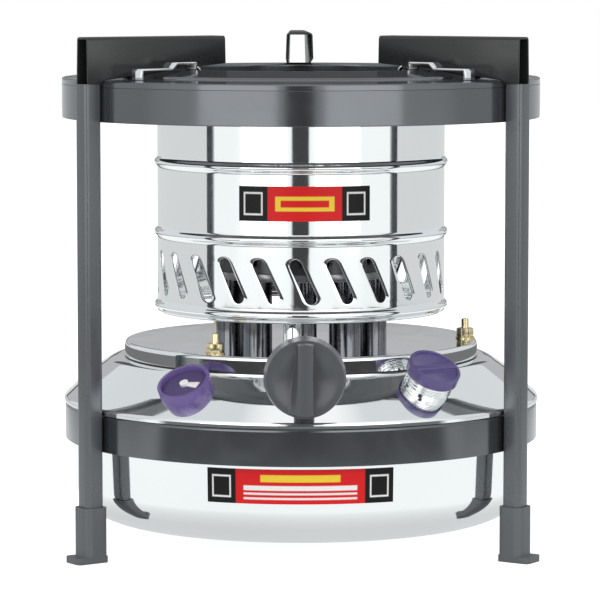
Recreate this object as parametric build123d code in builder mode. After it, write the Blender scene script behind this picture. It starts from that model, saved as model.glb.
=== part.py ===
from build123d import *
from math import cos, pi, radians, sin, tan
import os

os.makedirs("parts", exist_ok=True)

# A ten-wick kerosene stove on three legs, in millimetres.
# The origin is on the stove's upright axis at floor level, and the knob faces -Y.
# Angles round the axis are counted from the front, towards +X.

# Clearances that many pieces share
shaft_clearance = 0.06
slide_clearance = 0.1
side_clearance = 0.3
weld_gap = 0.05
cut_overrun = 3.0

# Stand: three square tube legs outside two hoops
leg_height = 258.0
leg_width = 10.8
leg_wall = 1.2
leg_corner_radius = 2.6
front_leg_angle = 56.0
foot_height = 30.0
foot_wall = 1.8
foot_sole = 3.5
foot_toe = 5.0

# Top hoop, which carries the top plate and sets the size of all that is round
ring_radius = 132.9
ring_sheet = 1.2
ring_height = 18.8
ring_drop = 1.7

# Lower hoop, which carries the tank at its shoulder
band_inset = 0.8
band_sheet = 1.2
band_height = 20.0
band_rise = 59.5
band_bend = 1.8

# Top plate: a shallow cone with a step, and a collar turned down round its hole
plate_sheet = 1.0
plate_skirt = 3.2
plate_shoulder_radius = 2.8
plate_step_share = 0.8578
plate_step_width = 1.5
plate_step_height = 1.1
plate_step_rise = 4.6
plate_rim_share = 0.6772
plate_rim_rise = 8.7
plate_collar_inset = 3.8
plate_collar_depth = 7.0
plate_bend = 1.8

# Pot supports: folded channels, one over each leg
support_height = 25.0
support_reach_share = 0.4176
support_sheet = 1.2
support_outer_width = 10.6
support_inner_width = 14.9
support_spread = 1.6
support_fold_radius = 1.9
support_heel = 1.8
support_nose_lift = 3.0
support_seat_gap = 0.15

# Tank: a deep bowl closed by a dome, joined at a shoulder
tank_sheet = 1.0
tank_clearance = 15.0
bowl_inset = 4.5
bowl_taper = 1.7
bowl_corner_radius = 22.0
bowl_flange_bend = 0.8
shoulder_inset = 0.4
shoulder_skirt = 2.6
shoulder_bend = 2.2
dome_rise = 24.7
dome_slope_angle = 39.2
dome_bend = 10.0
dome_hole_share = 0.6622

# Burner plate: a shallow upturned pan bolted on the dome over a gasket
gasket_thickness = 0.6
gasket_width = 4.0
pan_share = 0.7427
pan_sheet = 0.8
pan_height = 8.3
pan_bend = 2.0
stud_inset = 6.7
stud_radius = 2.1
stud_tip = 11.0
stud_angles = (-31.0, 89.0, 209.0)
washer_radius = 5.4
washer_thickness = 0.8
nut_radius = 4.9
nut_height = 5.0

# Wicks and the tubes that hold them
wick_count = 10
wick_circle_share = 0.3123
wick_radius = 6.6
wick_recess = 1.5
wick_foot_gap = 10.0
tube_radius = 8.0
tube_wall = 0.7
tube_height = 36.0
seat_thickness = 1.2
seat_rim_height = 3.0
seat_rim_wall = 1.0

# Burner: two pierced sleeves pinned together, with a cap on the inner one
sleeve_sheet = 0.8
sleeve_height = 108.0
outer_sleeve_share = 0.3913
inner_sleeve_share = 0.2483
inner_sleeve_height = 96.0
cap_sheet = 1.0
cap_crown = 4.0
cap_crown_radius = 12.0
cap_lift = 0.4
cap_lip = 5.0
cap_bend = 1.6
hole_radius = 1.7
hole_first_rise = 14.0
hole_row_spacing = 20.0
outer_hole_rows = 4
outer_hole_columns = 12
inner_hole_rows = 3
inner_hole_columns = 8
hole_sides = 6
pin_radius = 1.5
pin_rise = 44.0
pin_count = 3
pin_stub = 0.8

# Chimney drum with pressed beads and a belt of leaning slots
drum_share = 0.6035
drum_sheet = 0.8
drum_gap = 16.2
drum_height = 125.7
drum_curl = 2.2
drum_flange = 5.2
drum_bend = 1.2
bead_rises = (4.2, 44.7, 83.5)
bead_half_height = 2.6
bead_crest_half = 1.0
bead_depth = 1.8
slot_count = 25
slot_length = 26.3
slot_width = 6.7
slot_lean = 25.0
slot_rise = 22.5

# Bent strips that hang the drum from the top plate
hanger_angle = 45.0
hanger_width = 8.0
hanger_sheet = 1.2
hanger_bridge_rise = 4.4
hanger_bridge_reach = 15.0
hanger_step_drop = 3.0
hanger_step_run = 3.6
hanger_toe_inset = 7.9
hanger_bend = 1.4

# Wick lift: a rack on the wick carrier, and a pinion on the knob's spindle
tooth_module = 0.75
pinion_teeth = 10
pinion_addendum = 0.6
pinion_dedendum = 0.78
pinion_width = 6.0
pinion_gap = 12.5
tooth_base_share = 0.56
tooth_tip_share = 0.22
rack_thickness = 4.0
rack_width = 5.0
rack_teeth = 10
rack_head = 3.2
wick_travel = 15.7
spindle_radius = 1.8
spindle_drop = 5.7
spindle_tail = 2.0
bush_radius = 2.3
bush_tail = 6.0
gland_radius = 3.2
gland_length = 4.0
bracket_thickness = 1.5
bracket_width = 12.0
bracket_gap = 1.2
bracket_chin = 3.0
guide_wall = 0.8
guide_bore_radius = 4.2
guide_flange_radius = 7.5
guide_flange_thickness = 1.0
guide_headroom = 1.8
rod_radius = 3.0
rod_head_radius = 6.0
rod_head_thickness = 2.0
rod_length = 84.0
carrier_drop = 42.0
carrier_thickness = 2.0
carrier_margin = 2.2
carrier_hub_radius = 6.5
carrier_hub_height = 20.0
carrier_arm_width = 8.0
carrier_arm_count = 5
carrier_toe_margin = 2.0

# Knob
knob_radius = 21.8
knob_gap = 2.1
knob_thickness = 12.0
knob_taper = 1.4
knob_dish_depth = 3.0
knob_rim_width = 2.2
knob_ridge_width = 7.7
knob_ridge_rise = 5.0
knob_edge_radius = 1.2
knob_boss_radius = 6.5
knob_boss_length = 7.0
knob_bore_depth = 11.0

# Filler neck and cap, on the tank's cone
fitting_tilt = 32.0
filler_angle = 35.0
filler_inset = 18.0
neck_radius = 12.6
neck_wall = 1.2
neck_rise = 11.0
neck_tail = 6.0
thread_count = 4
thread_pitch = 1.9
thread_depth = 0.5
thread_first_rise = 2.2
seal_thickness = 1.0
cap_wall = 1.1
cap_skirt = 3.0
cap_top = 2.2
cap_recess = 1.2
cap_recess_rim = 1.8
grip_width = 4.4

# Fuel gauge, on the tank's cone
gauge_angle = -32.4
gauge_inset = 16.5
gauge_radius = 14.6
gauge_wall = 2.0
gauge_rise = 6.6
gauge_floor = 1.2
socket_radius = 10.5
socket_wall = 1.2
socket_rise = 2.4
socket_tail = 6.0
dial_thickness = 0.6
dial_radius = 12.2
pointer_length = 8.6
pointer_width = 4.6
pointer_thickness = 0.7
pointer_hub_radius = 2.4
pointer_hub_height = 1.6
pointer_spindle_radius = 0.8
pointer_spindle_length = 7.0
stem_radius = 2.2
stem_length = 22.0
fork_thickness = 1.4
fork_width = 7.0
fork_length = 8.0
float_pin_radius = 1.0
float_pin_head_radius = 1.7
float_pin_head_thickness = 0.8
float_hub_radius = 2.6
float_hub_length = 3.0
float_arm_radius = 1.2
float_arm_length = 44.0
float_arm_angle = -50.0
float_radius = 8.0
float_length = 16.0

# Radii that follow the top hoop
band_radius = ring_radius - band_inset
shoulder_radius = ring_radius - shoulder_inset
bowl_radius = shoulder_radius - bowl_inset
plate_step_radius = ring_radius * plate_step_share
plate_rim_radius = ring_radius * plate_rim_share
plate_collar_radius = plate_rim_radius - plate_collar_inset
support_reach = ring_radius * support_reach_share
dome_hole_radius = ring_radius * dome_hole_share
pan_radius = ring_radius * pan_share
stud_circle_radius = pan_radius - stud_inset
wick_circle_radius = ring_radius * wick_circle_share
outer_sleeve_radius = ring_radius * outer_sleeve_share
inner_sleeve_radius = ring_radius * inner_sleeve_share
drum_radius = ring_radius * drum_share
hanger_toe_radius = ring_radius - hanger_toe_inset
pinion_distance = wick_circle_radius + tube_radius + pinion_gap
knob_back_distance = ring_radius + knob_gap
filler_circle_radius = shoulder_radius - filler_inset
gauge_circle_radius = shoulder_radius - gauge_inset

up = Vector(0, 0, 1)


def outwards(angle):
    """The level direction away from the axis at an angle counted from the front."""
    return Vector(sin(radians(angle)), -cos(radians(angle)), 0)


def level_plane(angle, radius, height):
    """A level plane on a circle round the axis: x runs outwards, z up."""
    out = outwards(angle)
    return Plane(origin=out * radius + up * height, x_dir=out, z_dir=up)


def cutting_plane(angle):
    """The upright plane through the axis at an angle: x runs outwards, y up."""
    out = outwards(angle)
    return Plane(origin=(0, 0, 0), x_dir=out, z_dir=out.cross(up))


def facing_plane(angle, radius, height):
    """A plane that faces outwards on a circle: x runs along the circle, y up."""
    out = outwards(angle)
    return Plane(origin=out * radius + up * height, x_dir=up.cross(out), z_dir=out)


def sheet_profile(points, bends, thickness, side=Side.LEFT):
    """The section of a bent sheet, drawn along one face, with x as the radius and y up."""
    with BuildSketch(Plane.XZ) as section:
        with BuildLine():
            FilletPolyline(*points, radius=bends)
            offset(amount=thickness, side=side)
        make_face()
    return section.sketch


# Heights that the pieces stack up to
ring_top = leg_height - ring_drop
ring_bottom = ring_top - ring_height
band_top = band_rise + band_height
dome_top = band_top + dome_rise
gasket_top = dome_top + gasket_thickness
pan_top = gasket_top + pan_height
pan_underside = pan_top - pan_sheet
tube_top = pan_top + tube_height
burner_base = tube_top + seat_thickness
drum_bottom = pan_top + drum_gap
drum_top = drum_bottom + drum_height
plate_step = ring_top + plate_step_rise
plate_rim = ring_top + plate_rim_rise
support_top = leg_height + support_height
spindle_height = pan_top - spindle_drop
leg_circle_radius = ring_radius + weld_gap + leg_width / 2
stand_angles = {"front_left": -front_leg_angle, "front_right": front_leg_angle, "rear": 180.0}

# Legs and their feet
foot_width = leg_width + 2 * (foot_wall + slide_clearance)
for place, angle in stand_angles.items():
    with BuildPart() as leg:
        with BuildSketch(level_plane(angle, leg_circle_radius, foot_sole)):
            RectangleRounded(leg_width, leg_width, leg_corner_radius)
            offset(amount=-leg_wall, kind=Kind.INTERSECTION, mode=Mode.SUBTRACT)
        extrude(amount=leg_height - foot_sole)
    leg.part.label = "leg_" + place
    export_step(leg.part, "parts/leg_" + place + ".step")

    with BuildPart() as foot:
        with BuildSketch(level_plane(angle, leg_circle_radius + foot_toe / 2, 0)):
            RectangleRounded(foot_width + foot_toe, foot_width, leg_corner_radius)
        extrude(amount=foot_sole)
        with BuildSketch(level_plane(angle, leg_circle_radius, foot_sole)):
            RectangleRounded(foot_width, foot_width, leg_corner_radius + foot_wall)
            inside_width = leg_width + 2 * slide_clearance
            RectangleRounded(inside_width, inside_width, leg_corner_radius, mode=Mode.SUBTRACT)
        extrude(amount=foot_height - foot_sole)
    foot.part.label = "foot_" + place
    export_step(foot.part, "parts/foot_" + place + ".step")

# Top hoop
with BuildPart() as top_ring:
    with BuildSketch(Plane.XY.offset(ring_bottom)):
        Circle(ring_radius)
        Circle(ring_radius - ring_sheet, mode=Mode.SUBTRACT)
    extrude(amount=ring_height)
top_ring.part.label = "top_ring"
export_step(top_ring.part, "parts/top_ring.step")

# Lower hoop, with a lip turned in under the tank's shoulder
band_path = [
    (band_radius, band_rise),
    (band_radius, band_top),
    (bowl_radius + bowl_flange_bend + side_clearance, band_top),
]
with BuildPart() as lower_band:
    revolve(sheet_profile(band_path, [band_bend], band_sheet), axis=Axis.Z)
lower_band.part.label = "lower_band"
export_step(lower_band.part, "parts/lower_band.step")

# Top plate
plate_path = [
    (ring_radius, ring_top),
    (ring_radius, ring_top + plate_skirt),
    (plate_step_radius, plate_step),
    (plate_step_radius - plate_step_width, plate_step + plate_step_height),
    (plate_rim_radius, plate_rim),
    (plate_collar_radius, plate_rim),
    (plate_collar_radius, plate_rim - plate_collar_depth),
]
plate_bends = [plate_shoulder_radius, plate_bend, plate_bend, plate_bend, plate_bend]
with BuildPart() as top_plate:
    revolve(sheet_profile(plate_path, plate_bends, plate_sheet), axis=Axis.Z)
top_plate.part.label = "top_plate"
export_step(top_plate.part, "parts/top_plate.step")

# Pot supports: a channel that widens inwards, cut to the line of the top plate
support_heel_radius = leg_circle_radius + leg_width / 2 - support_heel
support_outline = [
    (support_heel_radius, leg_height),
    (support_heel_radius, support_top),
    (support_reach, support_top),
    (support_reach, plate_rim + support_nose_lift),
    (plate_rim_radius, plate_rim + support_seat_gap),
    (plate_step_radius, plate_step + plate_step_height + support_seat_gap),
    (ring_radius + support_seat_gap, ring_top + plate_skirt + support_seat_gap),
    (ring_radius + support_seat_gap, leg_height),
]


def channel_section(plane, width, foot, top):
    """A section across a pot support, as wide as given at the support's top and wider below."""
    foot_width, top_width = [
        width + support_spread * (support_top - height) / support_height for height in (foot, top)
    ]
    with BuildSketch(plane) as section:
        with BuildLine():
            Polyline(
                (-foot_width / 2, foot),
                (foot_width / 2, foot),
                (top_width / 2, top),
                (-top_width / 2, top),
                close=True,
            )
        make_face()
    return section.sketch


loft_top = support_top + cut_overrun
hollow_foot = leg_height - cut_overrun
hollow_top = support_top - support_sheet
for place, angle in stand_angles.items():
    outer_end = facing_plane(angle, support_heel_radius, 0)
    inner_end = facing_plane(angle, support_reach, 0)
    outer_width = support_outer_width
    inner_width = support_inner_width
    with BuildPart() as pot_support:
        loft(
            [
                channel_section(outer_end, outer_width, leg_height, loft_top),
                channel_section(inner_end, inner_width, leg_height, loft_top),
            ],
            ruled=True,
        )
        with BuildSketch(cutting_plane(angle)):
            with BuildLine():
                Polyline(*support_outline, close=True)
            make_face()
        extrude(amount=support_inner_width, both=True, mode=Mode.INTERSECT)
        top_edges = pot_support.edges().group_by(Axis.Z)[-1].sort_by(SortBy.LENGTH)[-2:]
        fillet(top_edges, support_fold_radius)
        inside = 2 * support_sheet
        loft(
            [
                channel_section(outer_end, outer_width - inside, hollow_foot, hollow_top),
                channel_section(inner_end, inner_width - inside, hollow_foot, hollow_top),
            ],
            ruled=True,
            mode=Mode.SUBTRACT,
        )
    pot_support.part.label = "pot_support_" + place
    export_step(pot_support.part, "parts/pot_support_" + place + ".step")

# Tank bowl, with a flange that sits on the lower hoop's lip
bowl_flange_radius = shoulder_radius - tank_sheet - side_clearance
bowl_path = [
    (0, tank_clearance),
    (bowl_radius - bowl_taper, tank_clearance),
    (bowl_radius, band_top),
    (bowl_flange_radius, band_top),
]
with BuildPart() as tank_bowl:
    revolve(sheet_profile(bowl_path, [bowl_corner_radius, bowl_flange_bend], tank_sheet), axis=Axis.Z)
tank_bowl.part.label = "tank_bowl"
export_step(tank_bowl.part, "parts/tank_bowl.step")


def cone_height(radius):
    """The height of the dome's cone at a radius."""
    return band_top + shoulder_skirt + (shoulder_radius - radius) * tan(radians(dome_slope_angle))


def fitting_plane(angle, radius):
    """A plane on the dome's cone for a tilted fitting: z runs out along its axis."""
    out = outwards(angle)
    axis = out * sin(radians(fitting_tilt)) + up * cos(radians(fitting_tilt))
    foot = out * radius + up * cone_height(radius)
    return Plane(origin=foot, x_dir=up.cross(out), z_dir=axis)


filler_plane = fitting_plane(filler_angle, filler_circle_radius)
gauge_plane = fitting_plane(gauge_angle, gauge_circle_radius)

# Tank dome: a skirt over the bowl's flange, a cone and a flat top with a wide hole
dome_flat_radius = shoulder_radius - (dome_rise - shoulder_skirt) / tan(radians(dome_slope_angle))
dome_path = [
    (shoulder_radius, band_top),
    (shoulder_radius, band_top + shoulder_skirt),
    (dome_flat_radius, dome_top),
    (dome_hole_radius, dome_top),
]
with BuildPart() as tank_dome:
    revolve(sheet_profile(dome_path, [shoulder_bend, dome_bend], tank_sheet), axis=Axis.Z)
    with BuildSketch(filler_plane):
        Circle(neck_radius + weld_gap)
    extrude(amount=neck_rise, both=True, mode=Mode.SUBTRACT)
    with BuildSketch(gauge_plane):
        Circle(socket_radius + weld_gap)
    extrude(amount=neck_rise, both=True, mode=Mode.SUBTRACT)
tank_dome.part.label = "tank_dome"
export_step(tank_dome.part, "parts/tank_dome.step")

# Gasket under the burner plate's rim
with BuildPart() as plate_gasket:
    with BuildSketch(Plane.XY.offset(dome_top)):
        Circle(pan_radius)
        Circle(pan_radius - gasket_width, mode=Mode.SUBTRACT)
    extrude(amount=gasket_thickness)
plate_gasket.part.label = "plate_gasket"
export_step(plate_gasket.part, "parts/plate_gasket.step")

# Where the rack runs, beside the spindle
tooth_pitch = pi * tooth_module
pitch_radius = tooth_module * pinion_teeth / 2
rack_face = -(pitch_radius - pinion_addendum)
rack_root = -(pitch_radius + pinion_dedendum)
rack_back = rack_root - rack_thickness + pinion_dedendum
rack_centre = (rack_face + rack_back) / 2
rack_place = (rack_centre, -pinion_distance)
spindle_plane = Plane(origin=(0, 0, spindle_height), x_dir=(1, 0, 0), z_dir=(0, -1, 0))

# Burner plate
pan_path = [(pan_radius, gasket_top), (pan_radius, pan_top), (0, pan_top)]
tube_bore = tube_radius - tube_wall
with BuildPart() as burner_plate:
    revolve(sheet_profile(pan_path, [pan_bend], pan_sheet), axis=Axis.Z)
    with BuildSketch(Plane.XY.offset(pan_top)):
        with PolarLocations(wick_circle_radius, wick_count, start_angle=-90):
            Circle(tube_bore)
        with Locations([outwards(angle) * stud_circle_radius for angle in stud_angles]):
            Circle(stud_radius + slide_clearance)
        with Locations(rack_place):
            Circle(guide_bore_radius)
        Circle(rod_radius + weld_gap)
    extrude(amount=cut_overrun, both=True, mode=Mode.SUBTRACT)
    with BuildSketch(spindle_plane.offset(pan_radius)):
        Circle(bush_radius + weld_gap)
    extrude(amount=cut_overrun, both=True, mode=Mode.SUBTRACT)
burner_plate.part.label = "burner_plate"
export_step(burner_plate.part, "parts/burner_plate.step")

# Studs on the dome, with washers and nuts over the burner plate
with BuildPart() as plate_studs:
    with BuildSketch(Plane.XY.offset(dome_top)):
        with Locations([outwards(angle) * stud_circle_radius for angle in stud_angles]):
            Circle(stud_radius)
    extrude(amount=pan_top + stud_tip - dome_top)
plate_studs.part.label = "plate_studs"
export_step(plate_studs.part, "parts/plate_studs.step")

with BuildPart() as plate_washers:
    with BuildSketch(Plane.XY.offset(pan_top)):
        with Locations([outwards(angle) * stud_circle_radius for angle in stud_angles]):
            Circle(washer_radius)
            Circle(stud_radius + slide_clearance, mode=Mode.SUBTRACT)
    extrude(amount=washer_thickness)
plate_washers.part.label = "plate_washers"
export_step(plate_washers.part, "parts/plate_washers.step")

with BuildPart() as plate_nuts:
    with BuildSketch(Plane.XY.offset(pan_top + washer_thickness)):
        with Locations([outwards(angle) * stud_circle_radius for angle in stud_angles]):
            RegularPolygon(nut_radius, 6)
            Circle(stud_radius + weld_gap, mode=Mode.SUBTRACT)
    extrude(amount=nut_height)
plate_nuts.part.label = "plate_nuts"
export_step(plate_nuts.part, "parts/plate_nuts.step")

# Wick tubes, one round each wick
with BuildPart() as wick_tubes:
    with BuildSketch(Plane.XY.offset(pan_top)):
        with PolarLocations(wick_circle_radius, wick_count, start_angle=-90):
            Circle(tube_radius)
            Circle(tube_bore, mode=Mode.SUBTRACT)
    extrude(amount=tube_height)
wick_tubes.part.label = "wick_tubes"
export_step(wick_tubes.part, "parts/wick_tubes.step")

# Burner seat: a ring on the tubes' ends, with a rim that centres the outer sleeve
seat_bore_radius = outer_sleeve_radius + side_clearance
seat_radius = seat_bore_radius + seat_rim_wall
seat_hole_radius = inner_sleeve_radius - sleeve_sheet - seat_rim_wall
with BuildPart() as burner_seat:
    with BuildSketch(Plane.XY.offset(tube_top)):
        Circle(seat_radius)
        Circle(seat_hole_radius, mode=Mode.SUBTRACT)
        with PolarLocations(wick_circle_radius, wick_count, start_angle=-90):
            Circle(tube_bore, mode=Mode.SUBTRACT)
    extrude(amount=seat_thickness)
    with BuildSketch(Plane.XY.offset(burner_base)):
        Circle(seat_radius)
        Circle(seat_bore_radius, mode=Mode.SUBTRACT)
    extrude(amount=seat_rim_height)
burner_seat.part.label = "burner_seat"
export_step(burner_seat.part, "parts/burner_seat.step")

# Wicks, hanging down near the tank's floor
wick_foot = tank_clearance + tank_sheet + wick_foot_gap
with BuildPart() as wicks:
    with BuildSketch(Plane.XY.offset(wick_foot)):
        with PolarLocations(wick_circle_radius, wick_count, start_angle=-90):
            Circle(wick_radius)
    extrude(amount=burner_base - wick_recess - wick_foot)
wicks.part.label = "wicks"
export_step(wicks.part, "parts/wicks.step")

# Wick carrier: a ring that grips the wicks, arms to a sliding hub, and a toe for the rack
carrier_base = pan_underside - carrier_drop
carrier_inner_radius = wick_circle_radius - wick_radius - carrier_margin
carrier_outer_radius = wick_circle_radius + wick_radius + carrier_margin
toe_end = pinion_distance + rack_width / 2 + carrier_toe_margin
toe_length = toe_end - carrier_inner_radius
with BuildPart() as wick_carrier:
    with BuildSketch(Plane.XY.offset(carrier_base)):
        Circle(carrier_outer_radius)
        Circle(carrier_inner_radius, mode=Mode.SUBTRACT)
        with PolarLocations(carrier_inner_radius / 2, carrier_arm_count, start_angle=-90):
            Rectangle(carrier_inner_radius + carrier_margin, carrier_arm_width)
        with Locations((rack_centre, -(carrier_inner_radius + toe_length / 2))):
            Rectangle(rack_thickness + 2 * carrier_toe_margin, toe_length)
        Circle(carrier_hub_radius)
        Circle(rod_radius + slide_clearance, mode=Mode.SUBTRACT)
        with PolarLocations(wick_circle_radius, wick_count, start_angle=-90):
            Circle(wick_radius + weld_gap, mode=Mode.SUBTRACT)
    extrude(amount=carrier_thickness)
    with BuildSketch(Plane.XY.offset(carrier_base + carrier_thickness)):
        Circle(carrier_hub_radius)
        Circle(rod_radius + slide_clearance, mode=Mode.SUBTRACT)
    extrude(amount=carrier_hub_height)
wick_carrier.part.label = "wick_carrier"
export_step(wick_carrier.part, "parts/wick_carrier.step")

# Rack, standing on the carrier's toe with its teeth towards the spindle
rack_tooth_heights = [spindle_height + (0.5 + step) * tooth_pitch for step in range(1 - rack_teeth, 2)]
rack_foot = carrier_base + carrier_thickness
rack_top = rack_tooth_heights[-1] + rack_head - tooth_pitch / 2
rack_points = [(rack_back, rack_foot), (rack_root, rack_foot)]
for height in rack_tooth_heights:
    rack_points += [
        (rack_root, height - tooth_base_share * tooth_pitch / 2),
        (rack_face, height - tooth_tip_share * tooth_pitch / 2),
        (rack_face, height + tooth_tip_share * tooth_pitch / 2),
        (rack_root, height + tooth_base_share * tooth_pitch / 2),
    ]
rack_points += [(rack_root, rack_top), (rack_back, rack_top)]
with BuildPart() as wick_rack:
    with BuildSketch(Plane.XZ.offset(pinion_distance)):
        with BuildLine():
            Polyline(*rack_points, close=True)
        make_face()
    extrude(amount=rack_width / 2, both=True)
wick_rack.part.label = "wick_rack"
export_step(wick_rack.part, "parts/wick_rack.step")

# Closed guide for the rack's upper end, on the burner plate
guide_top = rack_top + wick_travel + guide_headroom
with BuildPart() as rack_guide:
    with BuildSketch(Plane.XY.offset(pan_top)):
        with Locations(rack_place):
            Circle(guide_flange_radius)
    extrude(amount=guide_flange_thickness)
    with BuildSketch(Plane.XY.offset(pan_top)):
        with Locations(rack_place):
            Circle(guide_bore_radius + guide_wall)
    extrude(amount=guide_top + guide_wall - pan_top)
    with BuildSketch(Plane.XY.offset(pan_top)):
        with Locations(rack_place):
            Circle(guide_bore_radius)
    extrude(amount=guide_top - pan_top, mode=Mode.SUBTRACT)
rack_guide.part.label = "rack_guide"
export_step(rack_guide.part, "parts/rack_guide.step")

# Guide rod, headed over the burner plate
with BuildPart() as guide_rod:
    with BuildSketch(Plane.XY.offset(pan_top)):
        Circle(rod_head_radius)
    extrude(amount=rod_head_thickness)
    with BuildSketch(Plane.XY.offset(pan_top)):
        Circle(rod_radius)
    extrude(amount=-rod_length)
guide_rod.part.label = "guide_rod"
export_step(guide_rod.part, "parts/guide_rod.step")

# Pinion, with one tooth pointing at a gap of the rack
tooth_angle = 360 / pinion_teeth
root_radius = pitch_radius - pinion_dedendum
tip_radius = pitch_radius + pinion_addendum
pinion_points = []
for tooth in range(pinion_teeth):
    middle = 180 + tooth * tooth_angle
    for radius, share in (
        (root_radius, -tooth_base_share),
        (tip_radius, -tooth_tip_share),
        (tip_radius, tooth_tip_share),
        (root_radius, tooth_base_share),
    ):
        turn = radians(middle + share * tooth_angle / 2)
        pinion_points.append((radius * cos(turn), radius * sin(turn)))
with BuildPart() as pinion:
    with BuildSketch(spindle_plane.offset(pinion_distance)):
        with BuildLine():
            Polyline(*pinion_points, close=True)
        make_face()
        Circle(spindle_radius + weld_gap, mode=Mode.SUBTRACT)
    extrude(amount=pinion_width / 2, both=True)
pinion.part.label = "pinion"
export_step(pinion.part, "parts/pinion.step")

# Spindle, from its inner bearing to the knob
bracket_distance = pinion_distance - pinion_width / 2 - bracket_gap
spindle_end = bracket_distance - bracket_thickness - spindle_tail
spindle_tip = knob_back_distance + knob_bore_depth - knob_boss_length
with BuildPart() as spindle:
    with BuildSketch(spindle_plane.offset(spindle_end)):
        Circle(spindle_radius)
    extrude(amount=spindle_tip - spindle_end)
spindle.part.label = "spindle"
export_step(spindle.part, "parts/spindle.step")

# Inner bearing: a tab under the burner plate
with BuildPart() as spindle_bracket:
    with BuildSketch(spindle_plane.offset(bracket_distance - bracket_thickness)):
        bracket_top = pan_underside - spindle_height
        bracket_height = bracket_top + spindle_radius + bracket_chin
        with Locations((0, bracket_top - bracket_height / 2)):
            Rectangle(bracket_width, bracket_height)
        Circle(spindle_radius + shaft_clearance, mode=Mode.SUBTRACT)
    extrude(amount=bracket_thickness)
spindle_bracket.part.label = "spindle_bracket"
export_step(spindle_bracket.part, "parts/spindle_bracket.step")

# Bush through the burner plate's rim, and the gland nut outside it
with BuildPart() as spindle_bush:
    with BuildSketch(spindle_plane.offset(pan_radius - bush_tail)):
        Circle(bush_radius)
        Circle(spindle_radius + shaft_clearance, mode=Mode.SUBTRACT)
    extrude(amount=bush_tail + gland_length / 2)
spindle_bush.part.label = "spindle_bush"
export_step(spindle_bush.part, "parts/spindle_bush.step")

with BuildPart() as gland_nut:
    with BuildSketch(spindle_plane.offset(pan_radius + weld_gap)):
        RegularPolygon(gland_radius, 6)
        Circle(bush_radius + weld_gap, mode=Mode.SUBTRACT)
    extrude(amount=gland_length / 2)
    with BuildSketch(spindle_plane.offset(pan_radius + weld_gap + gland_length / 2)):
        RegularPolygon(gland_radius, 6)
        Circle(spindle_radius + shaft_clearance, mode=Mode.SUBTRACT)
    extrude(amount=gland_length / 2)
gland_nut.part.label = "gland_nut"
export_step(gland_nut.part, "parts/gland_nut.step")

# Knob: a dished disc with an upright grip ridge, and a boss over the spindle
knob_plane = spindle_plane.offset(knob_back_distance)
knob_face_radius = knob_radius - knob_taper
dish_radius = knob_face_radius - knob_rim_width
with BuildPart() as knob:
    with BuildSketch(knob_plane):
        Circle(knob_radius)
    with BuildSketch(knob_plane.offset(knob_thickness)):
        Circle(knob_face_radius)
    loft()
    fillet(knob.faces().sort_by(Axis.Y)[0].edges(), knob_edge_radius)
    with BuildSketch(knob_plane.offset(knob_thickness)):
        Circle(dish_radius)
    extrude(amount=-knob_dish_depth, taper=knob_dish_depth, mode=Mode.SUBTRACT)
    with BuildSketch(knob_plane.offset(knob_thickness - knob_dish_depth)):
        Circle(knob_face_radius - knob_edge_radius)
        Rectangle(knob_ridge_width, 2 * knob_radius, mode=Mode.INTERSECT)
    extrude(amount=knob_dish_depth + knob_ridge_rise)
    ridge_face = knob.faces().sort_by(Axis.Y)[0]
    fillet(ridge_face.edges(), knob_edge_radius)
    with BuildSketch(knob_plane):
        Circle(knob_boss_radius)
    extrude(amount=-knob_boss_length)
    with BuildSketch(knob_plane.offset(-knob_boss_length)):
        Circle(spindle_radius + weld_gap)
    extrude(amount=knob_bore_depth, mode=Mode.SUBTRACT)
knob.part.label = "knob"
export_step(knob.part, "parts/knob.step")

# Outer and inner sleeves, with rows of small holes
hole_plan = {
    "outer_sleeve": (outer_sleeve_radius, sleeve_height, outer_hole_rows, outer_hole_columns),
    "inner_sleeve": (inner_sleeve_radius, inner_sleeve_height, inner_hole_rows, inner_hole_columns),
}
for name, (radius, height, rows, columns) in hole_plan.items():
    with BuildPart() as sleeve:
        with BuildSketch(Plane.XY.offset(burner_base)):
            Circle(radius)
            Circle(radius - sleeve_sheet, mode=Mode.SUBTRACT)
        extrude(amount=height)
        for row in range(rows):
            for column in range(columns):
                turn = (column + row % 2 / 2) * 360 / columns
                rise = burner_base + hole_first_rise + row * hole_row_spacing
                with BuildSketch(facing_plane(turn, radius, rise)):
                    RegularPolygon(hole_radius, hole_sides)
        for turn in range(pin_count):
            with BuildSketch(facing_plane((turn + 0.5) * 360 / pin_count, radius, burner_base + pin_rise)):
                Circle(pin_radius + weld_gap)
        extrude(amount=sleeve_sheet + hole_radius, both=True, mode=Mode.SUBTRACT)
    sleeve.part.label = name
    export_step(sleeve.part, "parts/" + name + ".step")

# Cross pins between the sleeves
pin_start = inner_sleeve_radius - sleeve_sheet - pin_stub
with BuildPart() as sleeve_pins:
    for turn in range(pin_count):
        with BuildSketch(facing_plane((turn + 0.5) * 360 / pin_count, pin_start, burner_base + pin_rise)):
            Circle(pin_radius)
    extrude(amount=outer_sleeve_radius - pin_start)
sleeve_pins.part.label = "sleeve_pins"
export_step(sleeve_pins.part, "parts/sleeve_pins.step")

# Flame cap over the inner sleeve
cap_base = burner_base + inner_sleeve_height
cap_path = [
    (inner_sleeve_radius + slide_clearance + cap_sheet, cap_base - cap_lip),
    (inner_sleeve_radius + slide_clearance + cap_sheet, cap_base + cap_lift + cap_sheet),
    (cap_crown_radius, cap_base + cap_crown),
    (0, cap_base + cap_crown),
]
with BuildPart() as flame_cap:
    revolve(sheet_profile(cap_path, [cap_bend, cap_bend], cap_sheet), axis=Axis.Z)
flame_cap.part.label = "flame_cap"
export_step(flame_cap.part, "parts/flame_cap.step")

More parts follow.
